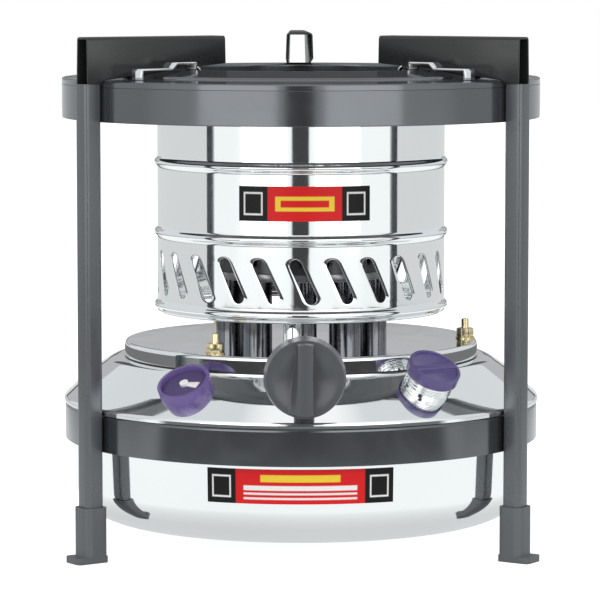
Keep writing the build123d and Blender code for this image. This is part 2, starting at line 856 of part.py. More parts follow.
# Chimney drum
drum_path = [
    (drum_radius - drum_curl, drum_bottom),
    (drum_radius, drum_bottom),
    (drum_radius, drum_top),
    (drum_radius + drum_flange, drum_top),
]
with BuildPart() as drum:
    revolve(sheet_profile(drum_path, [drum_bend, drum_bend], drum_sheet), axis=Axis.Z)
    for rise in bead_rises:
        middle = drum_bottom + rise
        with BuildSketch(Plane.XZ):
            with BuildLine():
                Polyline(
                    (drum_radius - drum_sheet / 2, middle - bead_half_height),
                    (drum_radius, middle - bead_half_height),
                    (drum_radius + bead_depth, middle - bead_crest_half),
                    (drum_radius + bead_depth, middle + bead_crest_half),
                    (drum_radius, middle + bead_half_height),
                    (drum_radius - drum_sheet / 2, middle + bead_half_height),
                    close=True,
                )
            make_face()
        revolve(axis=Axis.Z)
    for slot in range(slot_count):
        with BuildSketch(facing_plane(slot * 360 / slot_count, drum_radius, drum_bottom + slot_rise)):
            SlotOverall(slot_length, slot_width, rotation=90 + slot_lean)
    extrude(amount=slot_width / 2, both=True, mode=Mode.SUBTRACT)
drum.part.label = "drum"
export_step(drum.part, "parts/drum.step")


def cone_top(radius):
    """The height of the top plate's outer cone at a radius."""
    run = ring_radius - plate_step_radius
    return plate_step - (radius - plate_step_radius) * (plate_step_rise - plate_skirt) / run


# Hangers: strips from the drum's flange, over the rim, down to the top plate
hanger_root_radius = drum_radius + drum_flange - hanger_sheet
bridge = plate_rim + hanger_bridge_rise
bridge_end = hanger_root_radius + hanger_bridge_reach
toe_foot = cone_top(hanger_toe_radius - hanger_sheet) + weld_gap
hanger_path = [
    (hanger_root_radius, drum_top + drum_sheet),
    (hanger_root_radius, bridge),
    (bridge_end, bridge),
    (bridge_end + hanger_step_run, bridge - hanger_step_drop),
    (hanger_toe_radius, bridge - hanger_step_drop),
    (hanger_toe_radius, toe_foot),
]
hanger_angles = {
    "front_left": -hanger_angle,
    "front_right": hanger_angle,
    "rear_left": hanger_angle - 180,
    "rear_right": 180 - hanger_angle,
}
for place, angle in hanger_angles.items():
    with BuildPart() as drum_hanger:
        with BuildSketch(cutting_plane(angle)):
            with BuildLine():
                FilletPolyline(*hanger_path, radius=hanger_bend)
                offset(amount=hanger_sheet, side=Side.RIGHT)
            make_face()
        extrude(amount=hanger_width / 2, both=True)
    drum_hanger.part.label = "drum_hanger_" + place
    export_step(drum_hanger.part, "parts/drum_hanger_" + place + ".step")

# Filler neck, with ridges for its screw thread
with BuildPart() as filler_neck:
    with BuildSketch(filler_plane.offset(-neck_tail)):
        Circle(neck_radius)
    extrude(amount=neck_tail + neck_rise)
    for thread in range(thread_count):
        with BuildSketch(filler_plane.offset(thread_first_rise + thread * thread_pitch)):
            Circle(neck_radius + thread_depth)
        extrude(amount=thread_pitch / 2)
    with BuildSketch(filler_plane.offset(-neck_tail)):
        Circle(neck_radius - neck_wall)
    extrude(amount=neck_tail + neck_rise, mode=Mode.SUBTRACT)
filler_neck.part.label = "filler_neck"
export_step(filler_neck.part, "parts/filler_neck.step")

# Seal in the cap, on the neck's rim
seal_radius = neck_radius + thread_depth
with BuildPart() as cap_seal:
    with BuildSketch(filler_plane.offset(neck_rise)):
        Circle(seal_radius)
        Circle(neck_radius - neck_wall - slide_clearance, mode=Mode.SUBTRACT)
    extrude(amount=seal_thickness)
cap_seal.part.label = "cap_seal"
export_step(cap_seal.part, "parts/cap_seal.step")

# Filler cap: a skirt outside the thread, and a recessed top with a grip bar
cap_radius = seal_radius + slide_clearance + cap_wall
cap_ceiling = neck_rise + seal_thickness
cap_recess_radius = cap_radius - cap_recess_rim
with BuildPart() as filler_cap:
    with BuildSketch(filler_plane.offset(neck_rise - cap_skirt)):
        Circle(cap_radius)
    extrude(amount=cap_skirt + seal_thickness + cap_top)
    with BuildSketch(filler_plane.offset(neck_rise - cap_skirt)):
        Circle(cap_radius - cap_wall)
    extrude(amount=cap_skirt + seal_thickness, mode=Mode.SUBTRACT)
    with BuildSketch(filler_plane.offset(cap_ceiling + cap_top)):
        Circle(cap_recess_radius)
        Rectangle(2 * cap_radius, grip_width, mode=Mode.SUBTRACT)
    extrude(amount=-cap_recess, mode=Mode.SUBTRACT)
filler_cap.part.label = "filler_cap"
export_step(filler_cap.part, "parts/filler_cap.step")

# Gauge socket, in the dome's other hole
with BuildPart() as gauge_socket:
    with BuildSketch(gauge_plane.offset(-socket_tail)):
        Circle(socket_radius)
        Circle(socket_radius - socket_wall, mode=Mode.SUBTRACT)
    extrude(amount=socket_tail + socket_rise)
gauge_socket.part.label = "gauge_socket"
export_step(gauge_socket.part, "parts/gauge_socket.step")

# Gauge body: a cup over the socket, with its foot cut to the dome's cone
stem_bore_radius = stem_radius + weld_gap
with BuildPart() as gauge_body:
    with BuildSketch(gauge_plane.offset(-gauge_rise)):
        Circle(gauge_radius)
    extrude(amount=2 * gauge_rise)
    with BuildSketch(gauge_plane.offset(socket_rise + gauge_floor)):
        Circle(gauge_radius - gauge_wall)
    extrude(amount=gauge_rise, mode=Mode.SUBTRACT)
    with BuildSketch(gauge_plane.offset(-2 * gauge_rise)):
        Circle(socket_radius + slide_clearance)
    extrude(amount=2 * gauge_rise + socket_rise, mode=Mode.SUBTRACT)
    with BuildSketch(gauge_plane):
        Circle(stem_bore_radius)
    extrude(amount=gauge_rise, mode=Mode.SUBTRACT)
    with BuildSketch(Plane.XZ):
        with BuildLine():
            Polyline(
                (dome_hole_radius, dome_top + slide_clearance),
                (dome_flat_radius, dome_top + slide_clearance),
                (shoulder_radius, cone_height(shoulder_radius) + slide_clearance),
                (shoulder_radius, band_rise),
                (dome_hole_radius, band_rise),
                close=True,
            )
        make_face()
    revolve(axis=Axis.Z, mode=Mode.SUBTRACT)
gauge_body.part.label = "gauge_body"
export_step(gauge_body.part, "parts/gauge_body.step")

# Gauge stem: a tube down into the tank, with a fork and a pin for the float
hinge_point = gauge_plane.origin - gauge_plane.z_dir * (stem_length + fork_length / 2)
float_plane = Plane(origin=hinge_point, x_dir=-gauge_plane.x_dir, z_dir=-outwards(gauge_angle))
stem_bore = pointer_spindle_radius + shaft_clearance
fork_face = float_hub_length / 2 + slide_clearance
with BuildPart() as gauge_stem:
    with BuildSketch(gauge_plane.offset(-stem_length)):
        Circle(stem_radius)
    extrude(amount=stem_length + socket_rise + gauge_floor)
    with BuildSketch(float_plane.offset(-fork_face)):
        Circle(fork_width / 2)
        with Locations((0, fork_length / 2)):
            Rectangle(fork_width, fork_length)
    extrude(amount=-fork_thickness)
    with BuildSketch(float_plane.offset(-fork_face)):
        Circle(float_pin_radius)
    extrude(amount=2 * fork_face)
    with BuildSketch(float_plane.offset(fork_face)):
        Circle(float_pin_head_radius)
    extrude(amount=float_pin_head_thickness)
    with BuildSketch(gauge_plane.offset(-stem_length / 2)):
        Circle(stem_bore)
    extrude(amount=stem_length, mode=Mode.SUBTRACT)
gauge_stem.part.label = "gauge_stem"
export_step(gauge_stem.part, "parts/gauge_stem.step")

# Dial, on the cup's floor
dial_base = socket_rise + gauge_floor
with BuildPart() as gauge_dial:
    with BuildSketch(gauge_plane.offset(dial_base)):
        Circle(dial_radius)
        Circle(stem_bore, mode=Mode.SUBTRACT)
    extrude(amount=dial_thickness)
gauge_dial.part.label = "gauge_dial"
export_step(gauge_dial.part, "parts/gauge_dial.step")

# Pointer with its thin spindle
pointer_base = dial_base + dial_thickness + slide_clearance
with BuildPart() as gauge_pointer:
    with BuildSketch(gauge_plane.offset(pointer_base)):
        Circle(pointer_hub_radius)
    extrude(amount=pointer_hub_height)
    with BuildSketch(gauge_plane.offset(pointer_base)):
        with BuildLine():
            Polyline(
                (0, -pointer_hub_radius / 2),
                (pointer_length, -pointer_width / 2),
                (pointer_length, pointer_width / 2),
                (0, pointer_hub_radius / 2),
                close=True,
            )
        make_face()
    extrude(amount=pointer_thickness)
    with BuildSketch(gauge_plane.offset(pointer_base)):
        Circle(pointer_spindle_radius)
    extrude(amount=-pointer_spindle_length)
gauge_pointer.part.label = "gauge_pointer"
export_step(gauge_pointer.part, "parts/gauge_pointer.step")

# Float arm on its hub, and the float, hanging at its lowest as in an empty tank
arm_direction = Vector(cos(radians(float_arm_angle)), sin(radians(float_arm_angle)))
arm_axis = float_plane.from_local_coords(arm_direction) - float_plane.origin
arm_plane = Plane(origin=float_plane.origin, x_dir=float_plane.z_dir, z_dir=arm_axis)
with BuildPart() as float_arm:
    with BuildSketch(float_plane):
        Circle(float_hub_radius)
    extrude(amount=float_hub_length / 2, both=True)
    with BuildSketch(arm_plane.offset(float_pin_radius)):
        Circle(float_arm_radius)
    extrude(amount=float_arm_length - float_pin_radius)
    with BuildSketch(float_plane):
        Circle(float_pin_radius + shaft_clearance)
    extrude(amount=float_hub_length, both=True, mode=Mode.SUBTRACT)
float_arm.part.label = "float_arm"
export_step(float_arm.part, "parts/float_arm.step")

float_centre = float_plane.origin + arm_axis * float_arm_length
with BuildPart() as tank_float:
    with BuildSketch(Plane(origin=float_centre, x_dir=arm_axis, z_dir=float_plane.z_dir)):
        Circle(float_radius)
    extrude(amount=float_length / 2, both=True)
    with BuildSketch(arm_plane):
        Circle(float_arm_radius + weld_gap)
    extrude(amount=float_arm_length + weld_gap, mode=Mode.SUBTRACT)
tank_float.part.label = "float"
export_step(tank_float.part, "parts/float.step")
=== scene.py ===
"""A ten-wick kerosene stove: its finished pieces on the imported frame, and the studio round it."""

import math
from collections import namedtuple

import bmesh
import bpy
from bpy.props import FloatProperty, FloatVectorProperty, IntProperty, PointerProperty
from mathutils import Matrix, Vector


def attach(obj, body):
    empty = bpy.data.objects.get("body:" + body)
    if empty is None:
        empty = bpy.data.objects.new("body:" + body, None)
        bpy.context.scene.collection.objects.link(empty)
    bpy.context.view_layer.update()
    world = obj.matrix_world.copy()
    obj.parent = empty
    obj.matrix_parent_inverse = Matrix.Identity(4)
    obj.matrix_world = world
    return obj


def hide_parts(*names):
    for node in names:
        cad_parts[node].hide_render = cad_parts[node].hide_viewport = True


bl_info = {
    "name": "Kerosene stove",
    "version": (1, 0, 0),
    "blender": (4, 5, 0),
    "location": "View3D > Sidebar > Stove",
    "description": "Makes the finished pieces of a ten-wick kerosene stove and its studio",
    "category": "Add Mesh",
}

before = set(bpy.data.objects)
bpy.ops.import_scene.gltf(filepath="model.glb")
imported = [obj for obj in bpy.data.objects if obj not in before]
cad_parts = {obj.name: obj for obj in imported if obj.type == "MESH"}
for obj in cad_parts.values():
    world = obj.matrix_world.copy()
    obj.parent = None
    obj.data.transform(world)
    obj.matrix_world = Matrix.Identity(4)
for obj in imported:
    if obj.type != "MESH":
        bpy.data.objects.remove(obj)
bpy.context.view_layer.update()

MM = 0.001
TURN = 2 * math.pi
UP = Vector((0, 0, 1))
IMAGE_WIDTH = 600
SENSOR_WIDTH = 36.0

# Places round the axis, in degrees from the front
FRONT_LEG_ANGLE = 56.0
STAND_ANGLES = {"front_left": -FRONT_LEG_ANGLE, "front_right": FRONT_LEG_ANGLE, "rear": 180.0}
HANGER_ANGLES = {"front_left": -45.0, "front_right": 45.0, "rear_left": -135.0, "rear_right": 135.0}
GAP_ANGLES = (-7.5, 5.0)

# Sizes that several pieces follow, in millimetres
HOOP_RADIUS = 132.9
HOOP_TOP = 256.3
SHOULDER_HEIGHT = 79.5
PLATE_TOP = 113.1
DRUM_RADIUS = 80.2

# How finely shapes are drawn and welded, in metres
ARC_STEP = 1.5 * MM
BRACE = 0.12 * MM
LONG_EDGE = 8 * BRACE
SEAM_WELD = 1e-7
POINT_WELD = 2e-6
SKIN_HEIGHT = 0.1 * MM

# A label's sheet: (radius, height) of its foot and head in millimetres, half its angle and its turn in
# degrees. Its print: middle and half height in millimetres, the share of the width that is red, and bars
# as (low, high, reach, colour) in shares of the half height and half width.
Label = namedtuple("Label", "foot head half_angle turned middle half_height red_share bars")
LABELS = {
    "drum_label": Label(
        foot=(DRUM_RADIUS, 184.5),
        head=(DRUM_RADIUS, 203.3),
        half_angle=25.9,
        turned=0.65,
        middle=193.9,
        half_height=9.4,
        red_share=0.555,
        bars=((-0.42, 0.42, 0.44, "label_yellow"), (-0.2, 0.2, 0.36, "label_red")),
    ),
    "tank_label": Label(
        foot=(127.1, 39.0),
        head=(127.6, 57.4),
        half_angle=22.6,
        turned=-1.0,
        middle=48.0,
        half_height=9.0,
        red_share=0.685,
        bars=(
            (0.3, 0.72, 0.42, "label_yellow"),
            (-0.2, 0.08, 0.6, "label_white"),
            (-0.46, -0.34, 0.6, "label_white"),
            (-0.74, -0.62, 0.6, "label_white"),
        ),
    ),
}

# Finishes in the colours of the same names:
# (roughness, handling marks, colour drift, grain size, bump, metallic, specular)
FINISHES = {
    "paint": (0.14, 0.05, 0.05, 420.0, 0.06, 0.86),
    "tube_paint": (0.27, 0.05, 0.05, 420.0, 0.08, 0.6),
    "enamel": (0.12, 0.05, 0.05, 300.0, 0.08, 0.85),
    "support_enamel": (0.25, 0.08, 0.05, 900.0, 0.05, 0.0),
    "plating": (0.045, 0.035, 0.015, 260.0, 0.02, 1.0),
    "zinc": (0.36, 0.1, 0.08, 500.0, 0.06, 1.0),
    "sheet_steel": (0.28, 0.1, 0.08, 700.0, 0.06, 1.0),
    # The sleeves' steel is a darker copy of the plain sheet steel: painted shade for the inside of the drum
    "sleeve_steel": (0.3, 0.1, 0.08, 700.0, 0.06, 1.0),
    "tube_steel": (0.14, 0.08, 0.08, 500.0, 0.04, 1.0),
    "dark_steel": (0.38, 0.1, 0.08, 700.0, 0.06, 1.0),
    "brass": (0.16, 0.12, 0.1, 800.0, 0.05, 1.0),
    "foot_plastic": (0.42, 0.1, 0.04, 1400.0, 0.12, 0.0),
    "knob_plastic": (0.28, 0.08, 0.03, 1300.0, 0.08, 0.0),
    "violet_plastic": (0.24, 0.06, 0.04, 1100.0, 0.05, 0.0),
    "gauge_plastic": (0.24, 0.06, 0.04, 1100.0, 0.05, 0.0),
    # The dial's violet is the gauge plastic at 0.55 of its brightness: painted shade in the cup's recess
    "shaded_dial_violet": (0.4, 0.1, 0.05, 900.0, 0.05, 0.0),
    "white_plastic": (0.3, 0.05, 0.05, 900.0, 0.05, 0.0),
    "rubber": (0.6, 0.15, 0.05, 1600.0, 0.2, 0.0),
    "cotton": (0.9, 0.05, 0.12, 2200.0, 0.6, 0.0, 0.2),
    "cork": (0.85, 0.05, 0.35, 600.0, 0.6, 0.0, 0.2),
}
# The labels', as far as bump
LABEL_FINISH = (0.3, 0.06, 0.03, 700.0, 0.03)

# The pieces inside, and their finishes
INNER_FINISHES = {
    "plate_gasket": "rubber",
    "wicks": "cotton",
    "wick_carrier": "dark_steel",
    "wick_rack": "brass",
    "guide_rod": "dark_steel",
    "spindle_bracket": "dark_steel",
    "spindle_bush": "brass",
    "gauge_socket": "sheet_steel",
    "gauge_stem": "brass",
    "float_arm": "brass",
    "float": "cork",
}


def length(label, what, default):
    """A property for a length in metres."""
    return FloatProperty(name=label, description=what, default=default, unit="LENGTH", precision=5)


def colour(label, what, default):
    """A property for a linear colour."""
    return FloatVectorProperty(name=label, description=what, default=default, subtype="COLOR", min=0, max=1)


def factor(label, what, default):
    """A property for a plain number."""
    return FloatProperty(name=label, description=what, default=default)


class StoveSizes(bpy.types.PropertyGroup):
    """Sizes of the details that the finished pieces add to the frame."""

    round_steps: IntProperty(name="Steps round", description="Divisions of a large round piece", default=300)
    small_steps: IntProperty(name="Small steps", description="Divisions of a small round piece", default=72)
    bend_steps: IntProperty(name="Bend steps", description="Least divisions of a bend in sheet", default=6)
    slot_lean: FloatProperty(
        name="Slot lean", description="Lean of the drum's slots", default=math.radians(25.0), unit="ROTATION"
    )
    label_thickness: length("Label thickness", "How far a label stands off its sheet", 0.25 * MM)


class StoveColours(bpy.types.PropertyGroup):
    """Colours of the stove's finishes."""

    paint: colour("Paint", "Painted hoops", (0.139, 0.148, 0.157))
    tube_paint: colour("Tube paint", "Painted legs", (0.135, 0.143, 0.151))
    enamel: colour("Enamel", "Top plate", (0.15, 0.16, 0.17))
    support_enamel: colour("Support enamel", "Pot supports", (0.017, 0.018, 0.0185))
    plating: colour("Plating", "Bright plated sheet", (0.86, 0.88, 0.885))
    zinc: colour("Zinc", "Underside of the top plate", (0.20, 0.205, 0.21))
    sheet_steel: colour("Sheet steel", "Burner seat, flame cap and gauge socket", (0.45, 0.46, 0.47))
    # Painted shade: the sleeves' steel is darkened for the shade inside the drum
    sleeve_steel: colour("Sleeve steel", "Pierced sleeves", (0.15, 0.155, 0.165))
    tube_steel: colour("Tube steel", "Wick tubes", (0.17, 0.175, 0.19))
    dark_steel: colour("Dark steel", "Spindle, pins and inner fittings", (0.27, 0.276, 0.282))
    brass: colour("Brass", "Studs, nuts, bush, rack and pinion", (0.72, 0.62, 0.38))
    foot_plastic: colour("Foot plastic", "Moulded feet", (0.098, 0.107, 0.112))
    knob_plastic: colour("Knob plastic", "Control knob", (0.075, 0.081, 0.088))
    violet_plastic: colour("Violet plastic", "Filler cap", (0.105, 0.082, 0.225))
    gauge_plastic: colour("Gauge plastic", "Gauge cup", (0.145, 0.098, 0.29))
    # Painted shade: the gauge plastic darkened for the dial in the cup's recess
    shaded_dial_violet: colour("Violet dial", "Gauge dial", (0.0798, 0.0539, 0.1595))
    white_plastic: colour("White plastic", "Gauge pointer", (0.88, 0.87, 0.86))
    rubber: colour("Rubber", "Gasket and seal", (0.02, 0.02, 0.021))
    cotton: colour("Cotton", "Wicks", (0.75, 0.71, 0.62))
    cork: colour("Cork", "Float", (0.42, 0.27, 0.14))
    label_dark: colour("Label dark", "Dark fields of the labels", (0.004, 0.004, 0.005))
    label_red: colour("Label red", "Red fields of the labels", (0.68, 0.012, 0.014))
    label_yellow: colour("Label yellow", "Figures of the labels", (0.85, 0.62, 0.05))
    label_white: colour("Label white", "Lines of the labels", (0.85, 0.85, 0.82))


class StudioSetup(bpy.types.PropertyGroup):
    """Camera and light."""

    camera_distance: length("Camera distance", "From the camera to its target", 1.86785)
    camera_target: length("Target height", "Height of the camera's target", 0.1345)
    camera_elevation: FloatProperty(
        name="Elevation", description="Camera above the level", default=math.radians(5.607), unit="ROTATION"
    )
    camera_azimuth: FloatProperty(
        name="Azimuth", description="Camera round the stove", default=math.radians(0.85), unit="ROTATION"
    )
    focal_pixels: factor("Focal length", "Focal length in pixels of a 600 pixel frame", 3331.3)
    box_radiance: factor("Soft box", "Brightness of the two soft boxes", 1.1)
    room_level: factor("Room", "Brightness of the room in the gloss, beside and behind", 0.74)
    front_level: factor("Front", "Brightness of the room in the gloss, in front", 1.05)
    fill_level: factor("Fill", "Brightness of the room as plain light", 0.86)
    gap_level: factor("Gap", "Brightness between the soft boxes", 0.06)
    shade_level: factor("Shade", "Brightness of the shaded floor in front", 0.17)
    deep_level: factor("Deep shade", "Brightness of the floor that the burner plate's wall mirrors", 0.05)


def sizes():
    """The sizes in use."""
    return bpy.context.scene.stove_sizes


def colours():
    """The colours in use."""
    return bpy.context.scene.stove_colours


def studio():
    """The studio in use."""
    return bpy.context.scene.stove_studio


# Places


def outwards(angle):
    """The level direction away from the axis, at degrees from the front towards +X."""
    turn = math.radians(angle)
    return Vector((math.sin(turn), -math.cos(turn), 0))


def upright_frame(angle, radius=0.0, height=0.0):
    """A frame on a circle round the axis: x runs along the circle, y inwards, z up. Millimetres."""
    out = outwards(angle)
    origin = (out * radius + UP * height) * MM
    return Matrix.Translation(origin) @ Matrix((UP.cross(out), -out, UP)).transposed().to_4x4()


# Shapes


def round_off(bm, geom, offset, segments, affect, clamp=False):
    """Rounds vertices or edges and returns the edges that this makes."""
    made = bmesh.ops.bevel(
        bm,
        geom=geom,
        offset=offset,
        offset_type="OFFSET",
        segments=segments,
        profile=0.5,
        affect=affect,
        material=-1,
        clamp_overlap=clamp,
    )
    return made["edges"]


def round_corner(bm, vert, radius):
    """Rounds the corner of a wire to a radius and returns the arc's edges."""
    there, back = [edge.other_vert(vert).co - vert.co for edge in vert.link_edges]
    turn = math.pi - there.angle(back)
    segments = max(sizes().bend_steps, int(radius * turn / ARC_STEP))
    return round_off(bm, [vert], radius * math.tan(turn / 2), segments, "VERTICES")


def draw_wire(bm, corners, closed=True):
    """A wire in the XZ plane through (x, z, bend radius) in millimetres.

    Its long straight edges are braced beside both ends, so that bends don't bend their shading.
    """
    settled = set(bm.edges)
    verts = [bm.verts.new((x * MM, 0, z * MM)) for x, z, _ in corners]
    pairs = list(zip(verts, verts[1:]))
    if closed:
        pairs.append((verts[-1], verts[0]))
    for a, b in pairs:
        if a.co.x or b.co.x:
            bm.edges.new((a, b))
    for vert, (_, _, radius) in zip(verts, corners):
        if radius > 0:
            settled.update(round_corner(bm, vert, radius * MM))
    for edge in [edge for edge in bm.edges if edge not in settled and edge.calc_length() > LONG_EDGE]:
        for vert in edge.verts[:]:
            bmesh.utils.edge_split(edge, vert, BRACE / edge.calc_length())


def sheet_section(path, bends, thickness):
    """The section of a bent sheet: along one face, and back along the other on its left."""
    path = [Vector(point) for point in path]
    bends = [0, *bends, 0]
    runs = [(b - a).normalized() for a, b in zip(path, path[1:])]
    sides = [Vector((-run.y, run.x)) for run in runs]
    near, far = [], []
    for i, point in enumerate(path):
        before, after = sides[max(i - 1, 0)], sides[min(i, len(sides) - 1)]
        shift = (before + after) / (1 + before.dot(after)) * thickness
        turn = runs[max(i - 1, 0)].cross(runs[min(i, len(runs) - 1)])
        other = bends[i] - thickness if turn > 0 else bends[i] + thickness
        near.append((point.x, point.y, bends[i]))
        far.append((point.x + shift.x, point.y + shift.y, max(other, 0) if bends[i] else 0))
    return near + far[::-1]


def ring_section(inner, outer, low, high, edge=0):
    """The section of a plain ring."""
    return [(outer, low, edge), (outer, high, edge), (inner, high, edge), (inner, low, edge)]


def spin_round(bm, geom, angle, steps, **options):
    """Turns geometry round the z axis."""
    bmesh.ops.spin(bm, geom=geom, cent=(0, 0, 0), axis=UP, angle=angle, steps=steps, **options)


def spin_wire(bm, steps):
    """Turns what is drawn once round the z axis and closes its poles."""
    spin_round(bm, bm.verts[:] + bm.edges[:], TURN, steps, use_merge=True)
    bmesh.ops.remove_doubles(bm, verts=bm.verts[:], dist=SEAM_WELD)
    bmesh.ops.recalc_face_normals(bm, faces=bm.faces[:])


def repeat_round(bm, count):
    """Repeats a shape round the z axis in equal steps."""
    shape = bm.verts[:] + bm.edges[:] + bm.faces[:]
    spin_round(bm, shape, TURN * (count - 1) / count, count - 1, use_duplicate=True)


def soften(bm, width, angle, segments=2):
    """Bevels the edges of a closed shape that are sharper than an angle in degrees."""
    limit = math.radians(angle)
    sharp = [edge for edge in bm.edges if edge.is_manifold and edge.calc_face_angle() > limit]
    round_off(bm, sharp, width, segments, "EDGES", clamp=True)


def add_shape(bm, other):
    """Moves another shape into a shape."""
    mesh = bpy.data.meshes.new("moved shape")
    other.to_mesh(mesh)
    other.free()
    bm.from_mesh(mesh)
    bpy.data.meshes.remove(mesh)


def slot_outline(bm, length_mm, width_mm, lean, steps):
    """A slot's outline in the XZ plane round the origin, with each end and side in equal steps."""
    half = (length_mm - width_mm) / 2 * MM
    first = bm.verts.new((width_mm / 2 * MM, 0, half))
    bmesh.ops.spin(bm, geom=[first], cent=(0, 0, half), axis=(0, -1, 0), angle=math.pi, steps=steps)
    turned = bmesh.ops.duplicate(bm, geom=bm.verts[:] + bm.edges[:])["geom"]
    turned = [item for item in turned if isinstance(item, bmesh.types.BMVert)]
    bmesh.ops.rotate(bm, verts=turned, cent=(0, 0, 0), matrix=Matrix.Rotation(math.pi, 3, "Y"))
    ends = sorted((vert for vert in bm.verts if len(vert.link_edges) == 1), key=lambda vert: vert.co.x)
    sides = [bm.edges.new(ends[:2]), bm.edges.new(ends[2:])]
    bmesh.ops.subdivide_edges(bm, edges=sides, cuts=steps - 1)
    bmesh.ops.rotate(bm, verts=bm.verts[:], cent=(0, 0, 0), matrix=Matrix.Rotation(-lean, 3, "Y"))


def round_outline(bm, radius_mm, steps):
    """A round hole's outline in the XZ plane round the origin."""
    upright = Matrix.Rotation(math.radians(90), 4, "X")
    bmesh.ops.create_circle(bm, cap_ends=False, radius=radius_mm * MM, segments=steps, matrix=upright)


def pierced_row(draw_hole, radius, low, high, columns, steps, lean_steps=0, rings=2, turn=0.0):
    """A belt of a round wall: panels side by side, each with a hole in its middle. Millimetres."""
    row = bmesh.new()
    draw_hole(row)
    half_width = math.pi * radius / columns
    half_height = (high - low) / 2
    shift = 2 * half_width * lean_steps / steps
    corners = [
        row.verts.new((x * MM, 0, z * MM))
        for x, z in (
            (-half_width + shift, -half_height),
            (half_width + shift, -half_height),
            (half_width - shift, half_height),
            (-half_width - shift, half_height),
        )
    ]
    border = [row.edges.new(pair) for pair in zip(corners, corners[1:] + corners[:1])]
    bmesh.ops.subdivide_edges(row, edges=border, cuts=steps - 1)
    spokes = bmesh.ops.bridge_loops(row, edges=row.edges[:])["edges"]
    bmesh.ops.subdivide_edges(row, edges=spokes, cuts=rings, use_grid_fill=True)
    reach = radius * MM
    middle = (low + high) / 2 * MM
    for vert in row.verts:
        vert.co = outwards(math.degrees(vert.co.x / reach) + turn) * reach + UP * (vert.co.z + middle)
    repeat_round(row, columns)
    return row


def wall_from_skin(bm, thickness_mm, edge_mm):
    """Welds an outer skin, gives it its thickness inwards and softens its edges."""
    bmesh.ops.remove_doubles(bm, verts=bm.verts[:], dist=POINT_WELD)
    bmesh.ops.recalc_face_normals(bm, faces=bm.faces[:])
    if sum(face.normal.xy.dot(face.calc_center_median().xy) for face in bm.faces) < 0:
        bmesh.ops.reverse_faces(bm, faces=bm.faces[:])
    bmesh.ops.solidify(bm, geom=bm.faces[:], thickness=thickness_mm * MM)
    soften(bm, edge_mm * MM, 45.0)


def new_object(name, data):
    """A new object in the scene."""
    item = bpy.data.objects.new(name, data)
    bpy.context.scene.collection.objects.link(item)
    return item


def object_from_shape(name, bm, material):
    """A new object with a shape, which it uses up, and a material."""
    mesh = bpy.data.meshes.new(name)
    bm.to_mesh(mesh)
    bm.free()
    mesh.materials.append(material)
    return new_object(name, mesh)


def make_piece(bm, name, coat, node=None, body="stove", smooth_angle=32.0, place=None):
    """The finished object of a shape, riding on a body and standing for a CAD node."""
    if place is not None:
        bmesh.ops.transform(bm, matrix=place, verts=bm.verts[:])
    piece = object_from_shape(name, bm, finish(coat))
    piece.data.shade_smooth()
    piece.data.set_sharp_from_angle(angle=math.radians(smooth_angle))
    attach(piece, body)
    if node:
        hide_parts(node)
    return piece


def turned_piece(name, node, coat, corners, body="stove"):
    """A piece turned from a closed section."""
    bm = bmesh.new()
    draw_wire(bm, corners)
    spin_wire(bm, sizes().round_steps)
    return make_piece(bm, name, coat, node, body)


def softened_piece(name, node, coat, width_mm, body="stove", segments=2):
    """A CAD node's shape with its triangles merged into flat faces and its edges softened."""
    flat_angle, sharp_angle = 0.4, 40.0
    bm = bmesh.new()
    bm.from_mesh(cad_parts[node].data)
    bmesh.ops.remove_doubles(bm, verts=bm.verts[:], dist=POINT_WELD)
    bmesh.ops.dissolve_limit(bm, angle_limit=math.radians(flat_angle), verts=bm.verts[:], edges=bm.edges[:])
    soften(bm, width_mm * MM, sharp_angle, segments)
    make_piece(bm, name, coat, node, body)


# Finishes


def new_group(name, inputs, outputs):
    """An empty node group with named float, colour and vector sockets."""
    group = bpy.data.node_groups.new(name, "ShaderNodeTree")
    for label, kind, default in inputs:
        socket = group.interface.new_socket(name=label, in_out="INPUT", socket_type="NodeSocket" + kind)
        if default is not None:
            socket.default_value = default
    for label, kind in outputs:
        group.interface.new_socket(name=label, in_out="OUTPUT", socket_type="NodeSocket" + kind)
    return group, group.nodes.new("NodeGroupInput"), group.nodes.new("NodeGroupOutput")


def feed(tree, value, socket):
    """Gives a socket its value: another socket, a number or a colour."""
    if isinstance(value, bpy.types.NodeSocket):
        tree.links.new(value, socket)
    elif isinstance(value, (int, float)):
        socket.default_value = value
    else:
        socket.default_value = (*value[:3], 1)


def feed_all(tree, values, sockets):
    """Gives sockets their values in order."""
    for value, socket in zip(values, sockets):
        feed(tree, value, socket)


def noise(tree, vector, scale, detail, roughness=0.5, distortion=0.0):
    """A noise texture on a vector."""
    node = tree.nodes.new("ShaderNodeTexNoise")
    labels = ("Vector", "Scale", "Detail", "Roughness", "Distortion")
    sockets = [node.inputs[label] for label in labels]
    feed_all(tree, (vector, scale, detail, roughness, distortion), sockets)
    return node.outputs["Fac"]


def math_node(tree, operation, *values):
    """A maths node on sockets or numbers."""
    node = tree.nodes.new("ShaderNodeMath")
    node.operation = operation
    feed_all(tree, values, node.inputs)
    return node.outputs[0]


def times(tree, first, second):
    """The product of two values."""
    return math_node(tree, "MULTIPLY", first, second)


def remap(tree, value, low, high, to_low, to_high):
    """A clamped map of a value from one range to another."""
    node = tree.nodes.new("ShaderNodeMapRange")
    feed_all(tree, (value, low, high, to_low, to_high), node.inputs)
    return node.outputs["Result"]


def climb(tree, value, low, high):
    """Nothing below a range, one above it and a slope between."""
    return remap(tree, value, low, high, 0.0, 1.0)


def drop(tree, value, low, high):
    """One below a range, nothing above it and a slope between."""
    return remap(tree, value, low, high, 1.0, 0.0)


def between(tree, value, low, high, edge):
    """One where a value lies between two bounds, and nothing outside."""
    rise = climb(tree, value, low - edge, low + edge)
    return times(tree, rise, drop(tree, value, high - edge, high + edge))


